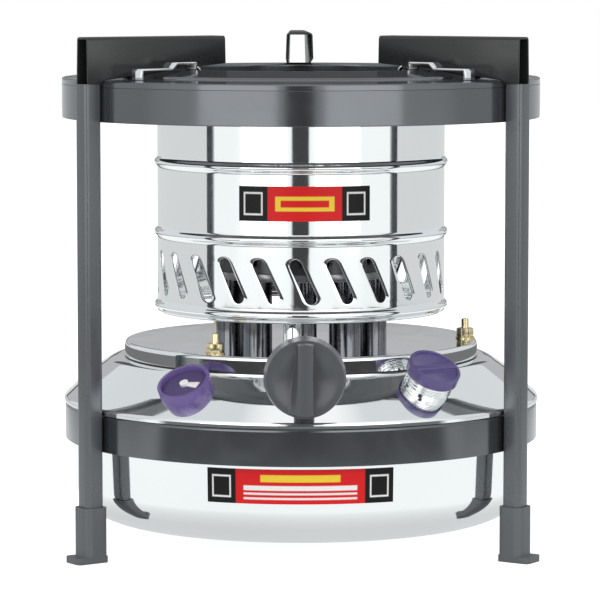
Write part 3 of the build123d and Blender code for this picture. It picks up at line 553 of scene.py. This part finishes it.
def mix_colour(tree, share, first, second):
    """A mix of two colours, each a socket or a colour."""
    node = tree.nodes.new("ShaderNodeMix")
    node.data_type = "RGBA"
    feed_all(tree, (share, first, second), [node.inputs[index] for index in (0, 6, 7)])
    return node.outputs[2]


def split_vector(tree, vector):
    """A vector's three parts."""
    node = tree.nodes.new("ShaderNodeSeparateXYZ")
    tree.links.new(vector, node.inputs[0])
    return node.outputs


def angle_round(tree, x, y):
    """The angle round the axis in radians, from the front towards +X."""
    return math_node(tree, "ARCTAN2", x, times(tree, y, -1.0))


def surface_group():
    """Slow colour drift, handling marks in the gloss and a fine skin, shared by the finishes."""
    group, entry, end = new_group(
        "Handled surface",
        (
            ("Vector", "Vector", None),
            ("Colour", "Color", (0.5, 0.5, 0.5, 1)),
            ("Drift", "Float", 0.06),
            ("Roughness", "Float", 0.3),
            ("Marks", "Float", 0.05),
            ("Grain size", "Float", 900.0),
        ),
        (("Colour", "Color"), ("Roughness", "Float"), ("Height", "Float")),
    )
    vector = entry.outputs["Vector"]
    cloud_scale, cloud_detail, cloud_range = 14.0, 2.0, (0.3, 0.7)
    smear_scale, smear_detail, smear_range = 55.0, 4.0, (0.42, 0.75)
    smear_roughness, smear_distortion, grain_detail = 0.6, 0.6, 2.0
    cloud = remap(group, noise(group, vector, cloud_scale, cloud_detail), *cloud_range, -1.0, 1.0)
    gain = math_node(group, "ADD", times(group, cloud, entry.outputs["Drift"]), 1.0)
    scale = group.nodes.new("ShaderNodeVectorMath")
    scale.operation = "SCALE"
    group.links.new(entry.outputs["Colour"], scale.inputs[0])
    group.links.new(gain, scale.inputs["Scale"])
    group.links.new(scale.outputs["Vector"], end.inputs["Colour"])
    smear = noise(group, vector, smear_scale, smear_detail, smear_roughness, smear_distortion)
    smear = climb(group, smear, *smear_range)
    rough = times(group, smear, entry.outputs["Marks"])
    group.links.new(math_node(group, "ADD", rough, entry.outputs["Roughness"]), end.inputs["Roughness"])
    group.links.new(noise(group, vector, entry.outputs["Grain size"], grain_detail), end.inputs["Height"])
    return group


def blank_material(name):
    """A material with a Principled shader and object coordinates: (material, tree, shader, vector)."""
    material = bpy.data.materials.new(name)
    material.use_nodes = True
    tree = material.node_tree
    shader = tree.nodes["Principled BSDF"]
    coordinates = tree.nodes.new("ShaderNodeTexCoord")
    return material, tree, shader, coordinates.outputs["Object"]


def add_surface(tree, shader, vector, base, roughness, marks, drift, grain, bump):
    """Places the shared surface group on a shader. base is a colour or a socket."""
    node = tree.nodes.new("ShaderNodeGroup")
    node.node_tree = bpy.data.node_groups.get("Handled surface") or surface_group()
    feed_all(tree, (vector, base, drift, roughness, marks, grain), node.inputs)
    skin = tree.nodes.new("ShaderNodeBump")
    skin.inputs["Strength"].default_value = bump
    skin.inputs["Distance"].default_value = SKIN_HEIGHT
    tree.links.new(node.outputs["Height"], skin.inputs["Height"])
    tree.links.new(node.outputs["Colour"], shader.inputs["Base Color"])
    tree.links.new(node.outputs["Roughness"], shader.inputs["Roughness"])
    tree.links.new(skin.outputs["Normal"], shader.inputs["Normal"])


def surface_material(name, base, roughness, marks, drift, grain, bump, metallic, specular=0.5):
    """A metal, moulded, enamelled or woven surface in one colour."""
    material, tree, shader, vector = blank_material(name)
    shader.inputs["Metallic"].default_value = metallic
    shader.inputs["Specular IOR Level"].default_value = specular
    add_surface(tree, shader, vector, base, roughness, marks, drift, grain, bump)


def label_material(name, label):
    """Plain bars on a red field, between dark fields with a square outline in each."""
    field_edge, bar_edge, specular = 0.006, 0.03, 0.2
    square_low, square_high = 0.56, 0.66
    material, tree, shader, vector = blank_material(name)
    tint = colours()
    x, y, z = split_vector(tree, vector)
    angle = math_node(tree, "SUBTRACT", angle_round(tree, x, y), math.radians(label.turned))
    across = math_node(tree, "ABSOLUTE", math_node(tree, "DIVIDE", angle, math.radians(label.half_angle)))
    rise = math_node(tree, "SUBTRACT", z, label.middle * MM)
    rise = math_node(tree, "DIVIDE", rise, label.half_height * MM)
    red = drop(tree, across, label.red_share - field_edge, label.red_share + field_edge)
    base = mix_colour(tree, red, tint.label_dark, tint.label_red)
    for low, high, reach, tone in label.bars:
        bar = between(tree, rise, low, high, bar_edge)
        bar = times(tree, bar, drop(tree, across, reach - field_edge, reach + field_edge))
        base = mix_colour(tree, bar, base, getattr(tint, tone))
    sideways = math_node(tree, "ABSOLUTE", math_node(tree, "SUBTRACT", across, (1 + label.red_share) / 2))
    sideways = math_node(tree, "DIVIDE", sideways, (1 - label.red_share) / 2)
    reach = math_node(tree, "MAXIMUM", sideways, math_node(tree, "ABSOLUTE", rise))
    square = between(tree, reach, square_low, square_high, bar_edge)
    outside = climb(tree, across, label.red_share, label.red_share + 0.01)
    base = mix_colour(tree, times(tree, square, outside), base, tint.label_white)
    shader.inputs["Specular IOR Level"].default_value = specular
    add_surface(tree, shader, vector, base, *LABEL_FINISH)


def finish(name):
    """The finish of that name, made on first use."""
    title = "finish_" + name
    if title not in bpy.data.materials:
        if name in LABELS:
            label_material(title, LABELS[name])
        else:
            surface_material(title, getattr(colours(), name), *FINISHES[name])
    return bpy.data.materials[title]


def dress_node(node, name):
    """Gives a CAD node one of the finishes."""
    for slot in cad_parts[node].material_slots:
        slot.material = finish(name)


# Stage


def bare_material(name):
    """A material with nothing but an output: (material, tree, output)."""
    material = bpy.data.materials.new(name)
    material.use_nodes = True
    tree = material.node_tree
    tree.nodes.clear()
    return material, tree, tree.nodes.new("ShaderNodeOutputMaterial")


def emission(tree, tone, strength=1.0):
    """A glow of a colour, at a strength that is a number or a socket."""
    node = tree.nodes.new("ShaderNodeEmission")
    feed(tree, tone, node.inputs["Color"])
    feed(tree, strength, node.inputs["Strength"])
    return node.outputs[0]


def mix_shaders(tree, share, first, second):
    """A mix of two shaders."""
    node = tree.nodes.new("ShaderNodeMixShader")
    feed_all(tree, (share, first, second), node.inputs)
    return node.outputs[0]


def stage_object(name, bm, material):
    """A shape of the studio, which is no part of the stove."""
    item = object_from_shape(name, bm, material)
    return item


def look_at(eye, target):
    """The turn of a lamp or camera that looks from one point to another."""
    return (Vector(target) - Vector(eye)).to_track_quat("-Z", "Y").to_euler()


def upright_card(name, angles, reach, heights, level):
    """A backdrop card that only glossy surfaces see, upright between two angles at a reach from the axis."""
    left, right = [outwards(angle) * reach for angle in angles]
    low, high = [UP * height for height in heights]
    bm = bmesh.new()
    bm.faces.new([bm.verts.new(corner) for corner in (left + low, right + low, right + high, left + high)])
    material, tree, out = bare_material(name)
    tree.links.new(emission(tree, (level, level, level * 1.03)), out.inputs["Surface"])
    card = stage_object(name, bm, material)
    for kind in ("camera", "diffuse", "shadow", "transmission"):
        setattr(card, "visible_" + kind, False)


def soft_box(name, angle, width, radiance):
    """A tall soft box that faces the stove."""
    distance, height, base = 2.1, 2.0, 0.02
    lamp = bpy.data.lights.new(name, "AREA")
    lamp.shape = "RECTANGLE"
    lamp.size = width
    lamp.size_y = height
    lamp.energy = radiance * width * height * math.pi
    box = new_object(name, lamp)
    box.location = outwards(angle) * distance + UP * (base + height / 2)
    box.rotation_euler = look_at(box.location, UP * box.location.z)
    box.visible_camera = False


def gloss_level(tree, position):
    """How bright the floor is in the stove's gloss: shaded by the stove and in front, bright by the boxes."""
    setup = studio()
    near_reach, near_level = (0.13, 0.21), 0.72
    front_edge, side_edge, side_reach = (62.0, 67.0), (72.0, 78.0), (0.5, 0.7)
    shade_reach, deep_reach, deep_beside = (0.475, 1.32), (0.84, 1.24), 0.8
    left_box, right_box, box_reach, box_edge = (-52.0, -9.5), (7.0, 47.0), (1.3, 1.34), 2.5
    x, y, _ = split_vector(tree, position)
    turn = times(tree, angle_round(tree, x, y), 360 / TURN)
    flat = [times(tree, part, part) for part in (x, y)]
    reach = math_node(tree, "SQRT", math_node(tree, "ADD", *flat))
    wide = math_node(tree, "ABSOLUTE", turn)
    ahead = drop(tree, wide, *front_edge)
    side = times(tree, climb(tree, wide, *side_edge), climb(tree, reach, *side_reach))
    shade = times(tree, between(tree, reach, *shade_reach, 0.02), ahead)
    deep_share = remap(tree, ahead, 0.0, 1.0, deep_beside, 1.0)
    deep = times(tree, between(tree, reach, *deep_reach, 0.03), deep_share)
    boxes = [between(tree, turn, *box, box_edge) for box in (left_box, right_box)]
    beyond = climb(tree, reach, *box_reach)
    bright = times(tree, math_node(tree, "ADD", *boxes), beyond)
    gap = times(tree, between(tree, turn, *GAP_ANGLES, 1.5), beyond)
    level = remap(tree, reach, *near_reach, near_level, setup.front_level)
    for zone, zone_level in (
        (side, setup.room_level),
        (shade, setup.shade_level),
        (deep, setup.deep_level),
        (bright, setup.box_radiance),
        (gap, setup.gap_level),
    ):
        level = remap(tree, zone, 0.0, 1.0, level, zone_level)
    return level


def floor_material():
    """White under the camera with the stove's shadow on it, and a lit table top in the stove's gloss."""
    table, table_glow, gloss_tint = (0.72, 0.73, 0.74), 0.72, (0.975, 0.995, 1.0)
    material, tree, out = bare_material("floor")
    path = tree.nodes.new("ShaderNodeLightPath").outputs
    position = tree.nodes.new("ShaderNodeTexCoord").outputs["Object"]
    plain = tree.nodes.new("ShaderNodeBsdfDiffuse")
    feed(tree, table, plain.inputs["Color"])
    seen = tree.nodes.new("ShaderNodeAddShader")
    feed_all(tree, (plain.outputs[0], emission(tree, (1, 1, 1), table_glow)), seen.inputs)
    straight = mix_shaders(tree, path["Is Camera Ray"], plain.outputs[0], seen.outputs[0])
    either = math_node(tree, "MAXIMUM", path["Is Glossy Ray"], path["Is Transmission Ray"])
    mirrored = emission(tree, gloss_tint, gloss_level(tree, position))
    tree.links.new(mix_shaders(tree, either, straight, mirrored), out.inputs["Surface"])
    return material


def make_world():
    """A white room for the camera, and a cooler and darker one, brightest in front, for the gloss."""
    setup = studio()
    low_front, high_front, crown = (-0.5, -0.15), (-0.05, 0.0), (0.6, 0.85)
    world = bpy.data.worlds.new("studio")
    bpy.context.scene.world = world
    world.use_nodes = True
    tree = world.node_tree
    tree.nodes.clear()
    out = tree.nodes.new("ShaderNodeOutputWorld")
    path = tree.nodes.new("ShaderNodeLightPath").outputs
    _, y, z = split_vector(tree, tree.nodes.new("ShaderNodeTexCoord").outputs["Generated"])
    low, high = [drop(tree, y, *edge) for edge in (low_front, high_front)]
    front = remap(tree, climb(tree, z, *crown), 0.0, 1.0, low, high)
    room = [setup.room_level * share for share in (1.0, 1.03, 1.05)]
    ahead = [setup.front_level] * 3
    fill = [setup.fill_level * share for share in (1.0, 1.0, 1.02)]
    level = mix_colour(tree, front, room, ahead)
    level = mix_colour(tree, path["Is Diffuse Ray"], level, fill)
    level = mix_colour(tree, path["Is Camera Ray"], level, (1, 1, 1))
    glow = tree.nodes.new("ShaderNodeBackground")
    tree.links.new(level, glow.inputs["Color"])
    tree.links.new(glow.outputs[0], out.inputs["Surface"])


def make_camera():
    """The camera of the photograph."""
    setup = studio()
    lens = bpy.data.cameras.new("camera")
    lens.sensor_width = SENSOR_WIDTH
    lens.lens = setup.focal_pixels * SENSOR_WIDTH / IMAGE_WIDTH
    lens.shift_x = -1 / IMAGE_WIDTH
    lens.clip_end = 20.0
    camera = new_object("camera", lens)
    target = UP * setup.camera_target
    level = math.cos(setup.camera_elevation) * setup.camera_distance
    rise = math.sin(setup.camera_elevation) * setup.camera_distance
    side = setup.camera_azimuth
    camera.location = target + Vector((-math.sin(side) * level, -math.cos(side) * level, rise))
    camera.rotation_euler = look_at(camera.location, target)
    bpy.context.scene.camera = camera


def make_stage():
    """Floor, backdrop cards, soft boxes, world and camera."""
    setup = studio()
    bpy.context.scene.view_settings.view_transform = "Standard"
    bm = bmesh.new()
    bmesh.ops.create_grid(bm, x_segments=1, y_segments=1, size=6.0)
    stage_object("floor", bm, floor_material())
    make_world()
    soft_box("soft_box_left", -30.0, 1.4, setup.box_radiance)
    soft_box("soft_box_right", 28.0, 1.36, setup.box_radiance)
    for card in (
        ("centre_card", GAP_ANGLES, 1.9, (0.0, 0.9), setup.gap_level),
        ("back_card", (162.0, 198.0), 1.6, (0.49, 1.1), 0.1),
        ("low_back_card", (150.0, 210.0), 4.0, (0.46, 1.5), 0.5),
        ("rim_card", (150.0, 210.0), 4.0, (0.3, 0.46), 0.12),
    ):
        upright_card(*card)
    make_camera()


# Stand


def square_tube(bm, width, wall, corner, length_mm):
    """A square tube with rounded corners, standing on the origin."""
    square = ((-1, -1), (1, -1), (1, 1), (-1, 1))
    half = width / 2
    inner = half - wall
    for reach, radius in ((half, corner), (inner, corner - wall)):
        verts = [bm.verts.new((x * reach * MM, y * reach * MM, 0)) for x, y in square]
        for a, b in zip(verts, verts[1:] + verts[:1]):
            bm.edges.new((a, b))
        for vert in verts:
            round_corner(bm, vert, radius * MM)
    bmesh.ops.bridge_loops(bm, edges=bm.edges[:])
    grown = bmesh.ops.extrude_face_region(bm, geom=bm.faces[:])
    moved = [item for item in grown["geom"] if isinstance(item, bmesh.types.BMVert)]
    bmesh.ops.translate(bm, verts=moved, vec=(0, 0, length_mm * MM))
    bmesh.ops.recalc_face_normals(bm, faces=bm.faces[:])


def make_stand():
    """Legs, feet and the two hoops."""
    tube_width, tube_wall, tube_corner, tube_length = 10.8, 1.2, 2.6, 254.5
    tube_reach, tube_foot = 138.35, 3.5
    for place, angle in STAND_ANGLES.items():
        bm = bmesh.new()
        square_tube(bm, tube_width, tube_wall, tube_corner, tube_length)
        frame_place = upright_frame(angle, tube_reach, tube_foot)
        make_piece(bm, "leg_tube_" + place, "tube_paint", "leg_" + place, place=frame_place)
        softened_piece(
            "foot_moulding_" + place, "foot_" + place, "foot_plastic", 0.6, segments=3
        )
    hoop_inner, hoop_low, hoop_edge = 131.7, 237.5, 0.4
    hoop = ring_section(hoop_inner, HOOP_RADIUS, hoop_low, HOOP_TOP, hoop_edge)
    turned_piece("top_hoop", "top_ring", "paint", hoop)
    band_radius, lip_radius, band_low, band_bend, band_sheet = 132.1, 129.1, 59.5, 1.8, 1.2
    path = [(band_radius, band_low), (band_radius, SHOULDER_HEIGHT), (lip_radius, SHOULDER_HEIGHT)]
    band = sheet_section(path, [band_bend], band_sheet)
    turned_piece("lower_hoop", "lower_band", "paint", band)


# Top plate


def make_top():
    """Top plate, pot supports and the strips that hang the drum."""
    skirt_top, ledge, step, crown_radius, crown_top = 259.5, (114.0, 260.9), (112.5, 262.0), 90.0, 265.0
    collar_radius, collar_foot = 86.2, 258.0
    rim_bend, bend, sheet, facing_down = 1.0, 1.8, 1.0, -0.5
    path = [
        (HOOP_RADIUS, HOOP_TOP),
        (HOOP_RADIUS, skirt_top),
        ledge,
        step,
        (crown_radius, crown_top),
        (collar_radius, crown_top),
        (collar_radius, collar_foot),
    ]
    section = sheet_section(path, [rim_bend, bend, bend, bend, bend], sheet)
    cone = turned_piece("top_cone", "top_plate", "enamel", section)
    cone.data.materials.append(finish("zinc"))
    for face in cone.data.polygons:
        if face.normal.z < facing_down:
            face.material_index = 1
    for place in STAND_ANGLES:
        softened_piece(
            "support_channel_" + place, "pot_support_" + place, "support_enamel", 0.25
        )
    for place in HANGER_ANGLES:
        softened_piece("hanger_strip_" + place, "drum_hanger_" + place, "plating", 0.3)


# Tank


def round_label(name):
    """A thin label bent round the stove's front."""
    label, label_steps = LABELS[name], 48
    (low_radius, low), (high_radius, high) = label.foot, label.head
    proud = sizes().label_thickness / MM
    bm = bmesh.new()
    corners = [(low_radius, low), (low_radius + proud, low), (high_radius + proud, high), (high_radius, high)]
    draw_wire(bm, [(*corner, 0) for corner in corners])
    start_turn = math.radians(label.turned - label.half_angle) - TURN / 4
    bmesh.ops.rotate(bm, verts=bm.verts[:], cent=(0, 0, 0), matrix=Matrix.Rotation(start_turn, 3, "Z"))
    start = bmesh.ops.contextual_create(bm, geom=bm.edges[:])["faces"]
    spin_round(bm, bm.verts[:] + bm.edges[:] + start, math.radians(2 * label.half_angle), label_steps)
    bmesh.ops.recalc_face_normals(bm, faces=bm.faces[:])
    make_piece(bm, name, name)


def make_tank():
    """Bowl, dome and the bowl's plain label."""
    sheet = 1.0
    floor_height, wall_foot, wall_head, flange_radius = 15.0, 126.3, 128.0, 131.2
    floor_bend, flange_bend = 22.0, 0.8
    path = [
        (0, floor_height),
        (wall_foot, floor_height),
        (wall_head, SHOULDER_HEIGHT),
        (flange_radius, SHOULDER_HEIGHT),
    ]
    bowl = sheet_section(path, [floor_bend, flange_bend], sheet)
    turned_piece("tank_pan", "tank_bowl", "plating", bowl)
    dome_radius, skirt_top, haunch = 132.5, 82.1, (119.7, 94.1)
    crown_radius, crown_height, hole_radius = 105.4, 104.2, 88.0
    skirt_bend, haunch_bend, crown_bend = 2.2, 70.0, 10.0
    path = [
        (dome_radius, SHOULDER_HEIGHT),
        (dome_radius, skirt_top),
        haunch,
        (crown_radius, crown_height),
        (hole_radius, crown_height),
    ]
    dome = sheet_section(path, [skirt_bend, haunch_bend, crown_bend], sheet)
    turned_piece("tank_cover", "tank_dome", "plating", dome)
    round_label("tank_label")


# Burner plate


def make_burner_plate():
    """The upturned pan with its tubes, studs, washers and nuts."""
    pan_radius, pan_foot, pan_bend, pan_sheet = 98.7, 104.8, 2.0, 0.8
    path = [(pan_radius, pan_foot), (pan_radius, PLATE_TOP), (0, PLATE_TOP)]
    pan = sheet_section(path, [pan_bend], pan_sheet)
    turned_piece("burner_pan", "burner_plate", "plating", pan)
    bore, outer, tube_top, tube_circle, tube_count = 7.3, 8.0, 149.1, 41.5, 10
    tubes = bmesh.new()
    draw_wire(tubes, ring_section(bore, outer, PLATE_TOP, tube_top))
    spin_wire(tubes, sizes().small_steps)
    bmesh.ops.transform(tubes, matrix=upright_frame(0.0, tube_circle), verts=tubes.verts[:])
    repeat_round(tubes, tube_count)
    make_piece(tubes, "wick_tube_set", "tube_steel", "wick_tubes")
    for name, node, width in (
        ("stud_set", "plate_studs", 0.3),
        ("washer_set", "plate_washers", 0.15),
        ("nut_set", "plate_nuts", 0.4),
        ("gland", "gland_nut", 0.25),
    ):
        softened_piece(name, node, "brass", width)
    softened_piece("guide_tube", "rack_guide", "plating", 0.3)
    softened_piece("seat_ring", "burner_seat", "sheet_steel", 0.2)


# Drum


def bead(height):
    """The wire of a bead pressed out of the drum's wall."""
    foot, shoulder, depth, bend = 2.6, 0.9, 1.8, 2.0
    return [
        (DRUM_RADIUS, height - foot, bend),
        (DRUM_RADIUS + depth, height - shoulder, bend),
        (DRUM_RADIUS + depth, height + shoulder, bend),
        (DRUM_RADIUS, height + foot, bend),
    ]


def make_drum():
    """The chimney drum: a rolled sheet with three beads, a curl, a flange and a belt of leaning slots."""
    drum_low, drum_high, curl_radius, flange, bend = 129.3, 255.0, 78.0, 5.2, 1.2
    low_bead, middle_bead, high_bead = 133.5, 174.0, 212.8
    belt_low, belt_high = 137.0, 166.6
    slot_count, slot_length, slot_width, lean_steps = 25, 26.3, 6.7, 4
    sheet, cut_edge = 0.8, 0.14
    setup = sizes()
    bm = bmesh.new()
    foot = [(curl_radius, drum_low, 0), (DRUM_RADIUS, drum_low, bend)]
    draw_wire(bm, [*foot, *bead(low_bead), (DRUM_RADIUS, belt_low, 0)], closed=False)
    head = [(DRUM_RADIUS, drum_high, bend), (DRUM_RADIUS + flange, drum_high, 0)]
    draw_wire(bm, [(DRUM_RADIUS, belt_high, 0), *bead(middle_bead), *bead(high_bead), *head], closed=False)
    spin_wire(bm, setup.round_steps)
    steps = setup.round_steps // slot_count

    def leaning_slot(row):
        slot_outline(row, slot_length, slot_width, setup.slot_lean, steps)

    belt = pierced_row(leaning_slot, DRUM_RADIUS, belt_low, belt_high, slot_count, steps, lean_steps)
    add_shape(bm, belt)
    wall_from_skin(bm, sheet, cut_edge)
    make_piece(bm, "drum_wall", "plating", "drum")
    round_label("drum_label")


# Burner


def make_sleeve(name, node, radius, height, rows, columns):
    """A sleeve with rows of round holes, each row half a step round from the last."""
    sleeve_foot, first_row, row_height, hole_radius = 150.3, 154.3, 10.0, 1.7
    sheet, cut_edge, steps = 0.8, 0.1, 8
    last_row = first_row + rows * row_height
    bm = bmesh.new()
    draw_wire(bm, [(radius, sleeve_foot, 0), (radius, first_row, 0)], closed=False)
    draw_wire(bm, [(radius, last_row, 0), (radius, sleeve_foot + height, 0)], closed=False)
    spin_wire(bm, columns * steps)

    def round_hole(row):
        round_outline(row, hole_radius, 4 * steps)

    for row in range(rows):
        low = first_row + row * row_height
        turn = 180 / columns * (row % 2)
        belt = pierced_row(round_hole, radius, low, low + row_height, columns, steps, rings=1, turn=turn)
        add_shape(bm, belt)
    wall_from_skin(bm, sheet, cut_edge)
    # The sleeves take the darkened steel, which is painted shade inside the drum
    make_piece(bm, name, "sleeve_steel", node, "burner")


def make_burner():
    """Sleeves, pins and flame cap."""
    make_sleeve("sleeve_outer", "outer_sleeve", 52.0, 108.0, 9, 24)
    make_sleeve("sleeve_inner", "inner_sleeve", 33.0, 96.0, 8, 15)
    cap_radius, cap_foot, cap_brim, flat_radius, cap_top = 34.1, 241.3, 247.7, 12.0, 250.3
    bend, sheet = 1.6, 1.0
    path = [(cap_radius, cap_foot), (cap_radius, cap_brim), (flat_radius, cap_top), (0, cap_top)]
    cap = sheet_section(path, [bend, bend], sheet)
    turned_piece("cap_disc", "flame_cap", "sheet_steel", cap, "burner")
    dress_node("sleeve_pins", "dark_steel")


# Fittings


def ease(value):
    """A smooth step from nothing to one."""
    value = min(max(value, 0), 1)
    return value * value * (3 - 2 * value)


def knob_depth(x, y, reach, face, ridge):
    """How far the knob's front stands out: a rim, two scoops and a grip that flares to the left."""
    scoop_depth, scoop_start, scoop_run = 3.2, 5.0, 13.4
    grip_left, grip_middle, grip_right, grip_reach, grip_crown = 3.6, 0.4, 5.3, 19.5, 0.02
    steep, flare_gain, flare_top, flare_run, right_run, end_run = 1.2, 4.0, 14.0, 30.0, 1.3, 0.9
    scoop = face - scoop_depth * (1 - ease((reach - scoop_start) / scoop_run))
    flare = steep + flare_gain * ease((flare_top - y) / flare_run)
    left = (x + grip_left + flare) / flare
    right = (grip_right - x) / right_run
    grip = min(ease(left), ease(right), ease((grip_reach - reach) / end_run))
    return scoop + (ridge - scoop - grip_crown * (x - grip_middle) ** 2) * grip


def make_knob():
    """The control knob and what it turns."""
    rim, skirt, face, ridge = 20.4, 21.8, 12.0, 17.0
    hole, hole_floor, hub, hub_foot = 3.1, 4.3, 6.5, -7.0
    hub_bend, skirt_bend, face_bend = 0.5, 1.2, 0.45
    ring_count, ring_step, ring_inset = 66, 0.3, 0.5
    knob_front, knob_height, knob_steps, slack = 135.0, 107.4, 240, 0.01
    bm = bmesh.new()
    rings = [(rim - ring_inset - ring_step * step, face, 0) for step in range(ring_count)]
    section = [
        (0, hole_floor, 0),
        (hole, hole_floor, 0),
        (hole, hub_foot, 0),
        (hub, hub_foot, hub_bend),
        (hub, 0.0, 0),
        (skirt, 0.0, skirt_bend),
        (rim, face, face_bend),
        *rings,
        (0, face, 0),
    ]
    draw_wire(bm, section)
    spin_wire(bm, knob_steps)
    for vert in bm.verts:
        reach = vert.co.xy.length / MM
        if vert.co.z / MM > face - slack and reach < rim - ring_inset + ring_step / 3:
            vert.co.z = knob_depth(vert.co.x / MM, vert.co.y / MM, reach, face, ridge) * MM
    turned = Matrix(((1, 0, 0), (0, 0, -1), (0, 1, 0))).to_4x4()
    place = Matrix.Translation((0, -knob_front * MM, knob_height * MM)) @ turned
    make_piece(bm, "knob_body", "knob_plastic", "knob", "knob_spindle", 40.0, place)
    dress_node("spindle", "dark_steel")
    dress_node("pinion", "brass")


def make_filler():
    """Filler neck and cap."""
    softened_piece("neck_tube", "filler_neck", "plating", 0.2)
    softened_piece("cap_body", "filler_cap", "violet_plastic", 0.35, "filler_cap")
    dress_node("cap_seal", "rubber")


def make_gauge():
    """Fuel gauge."""
    softened_piece("gauge_cup", "gauge_body", "gauge_plastic", 0.4)
    softened_piece("gauge_hand", "gauge_pointer", "white_plastic", 0.1, "fuel_pointer")
    # The dial takes the darkened violet, which is painted shade in the cup's recess
    dress_node("gauge_dial", "shaded_dial_violet")


def make_inner_parts():
    """Finishes of the pieces inside."""
    for node, name in INNER_FINISHES.items():
        dress_node(node, name)


# Add-on


class StovePiece:
    """What the stove's operators share."""

    bl_options = {"REGISTER", "UNDO"}


class STOVE_OT_stage(StovePiece, bpy.types.Operator):
    """Make the floor, the lamps, the world and the camera"""

    bl_idname = "stove.stage"
    bl_label = "Stage"

    def execute(self, context):
        make_stage()
        return {"FINISHED"}


class STOVE_OT_stand(StovePiece, bpy.types.Operator):
    """Make the legs, feet and hoops"""

    bl_idname = "stove.stand"
    bl_label = "Stand"

    def execute(self, context):
        make_stand()
        return {"FINISHED"}


class STOVE_OT_top(StovePiece, bpy.types.Operator):
    """Make the top plate, pot supports and hangers"""

    bl_idname = "stove.top"
    bl_label = "Top"

    def execute(self, context):
        make_top()
        return {"FINISHED"}


class STOVE_OT_tank(StovePiece, bpy.types.Operator):
    """Make the tank"""

    bl_idname = "stove.tank"
    bl_label = "Tank"

    def execute(self, context):
        make_tank()
        return {"FINISHED"}


class STOVE_OT_burner_plate(StovePiece, bpy.types.Operator):
    """Make the burner plate and its fastenings"""

    bl_idname = "stove.burner_plate"
    bl_label = "Burner plate"

    def execute(self, context):
        make_burner_plate()
        return {"FINISHED"}


class STOVE_OT_drum(StovePiece, bpy.types.Operator):
    """Make the chimney drum"""

    bl_idname = "stove.drum"
    bl_label = "Drum"

    def execute(self, context):
        make_drum()
        return {"FINISHED"}


class STOVE_OT_burner(StovePiece, bpy.types.Operator):
    """Make the sleeves and flame cap"""

    bl_idname = "stove.burner"
    bl_label = "Burner"

    def execute(self, context):
        make_burner()
        return {"FINISHED"}


class STOVE_OT_knob(StovePiece, bpy.types.Operator):
    """Make the control knob"""

    bl_idname = "stove.knob"
    bl_label = "Knob"

    def execute(self, context):
        make_knob()
        return {"FINISHED"}


class STOVE_OT_filler(StovePiece, bpy.types.Operator):
    """Make the filler neck and cap"""

    bl_idname = "stove.filler"
    bl_label = "Filler"

    def execute(self, context):
        make_filler()
        return {"FINISHED"}


class STOVE_OT_gauge(StovePiece, bpy.types.Operator):
    """Make the fuel gauge"""

    bl_idname = "stove.gauge"
    bl_label = "Gauge"

    def execute(self, context):
        make_gauge()
        return {"FINISHED"}


class STOVE_OT_inner_parts(StovePiece, bpy.types.Operator):
    """Finish the pieces inside"""

    bl_idname = "stove.inner_parts"
    bl_label = "Inner parts"

    def execute(self, context):
        make_inner_parts()
        return {"FINISHED"}


OPERATORS = tuple(StovePiece.__subclasses__())


class STOVE_PT_pieces(bpy.types.Panel):
    """The stove's sizes, colours and operators"""

    bl_idname = "STOVE_PT_pieces"
    bl_label = "Stove"
    bl_space_type = "VIEW_3D"
    bl_region_type = "UI"
    bl_category = "Stove"

    def draw(self, context):
        for group in (sizes(), colours(), studio()):
            box = self.layout.box()
            for name in group.__annotations__:
                box.prop(group, name)
        for operator in OPERATORS:
            self.layout.operator(operator.bl_idname)


GROUPS = {"stove_sizes": StoveSizes, "stove_colours": StoveColours, "stove_studio": StudioSetup}
CLASSES = (*GROUPS.values(), *OPERATORS, STOVE_PT_pieces)


def register():
    """Registers the classes and puts the settings on the scene."""
    for item in CLASSES:
        bpy.utils.register_class(item)
    for name, group in GROUPS.items():
        setattr(bpy.types.Scene, name, PointerProperty(type=group))


def unregister():
    """Takes the settings and classes away."""
    for name in GROUPS:
        delattr(bpy.types.Scene, name)
    for item in reversed(CLASSES):
        bpy.utils.unregister_class(item)


def main():
    """Makes every piece in order."""
    register()
    bpy.ops.stove.stage()
    bpy.ops.stove.stand()
    bpy.ops.stove.top()
    bpy.ops.stove.tank()
    bpy.ops.stove.burner_plate()
    bpy.ops.stove.drum()
    bpy.ops.stove.burner()
    bpy.ops.stove.knob()
    bpy.ops.stove.filler()
    bpy.ops.stove.gauge()
    bpy.ops.stove.inner_parts()


if __name__ == "__main__":
    main()
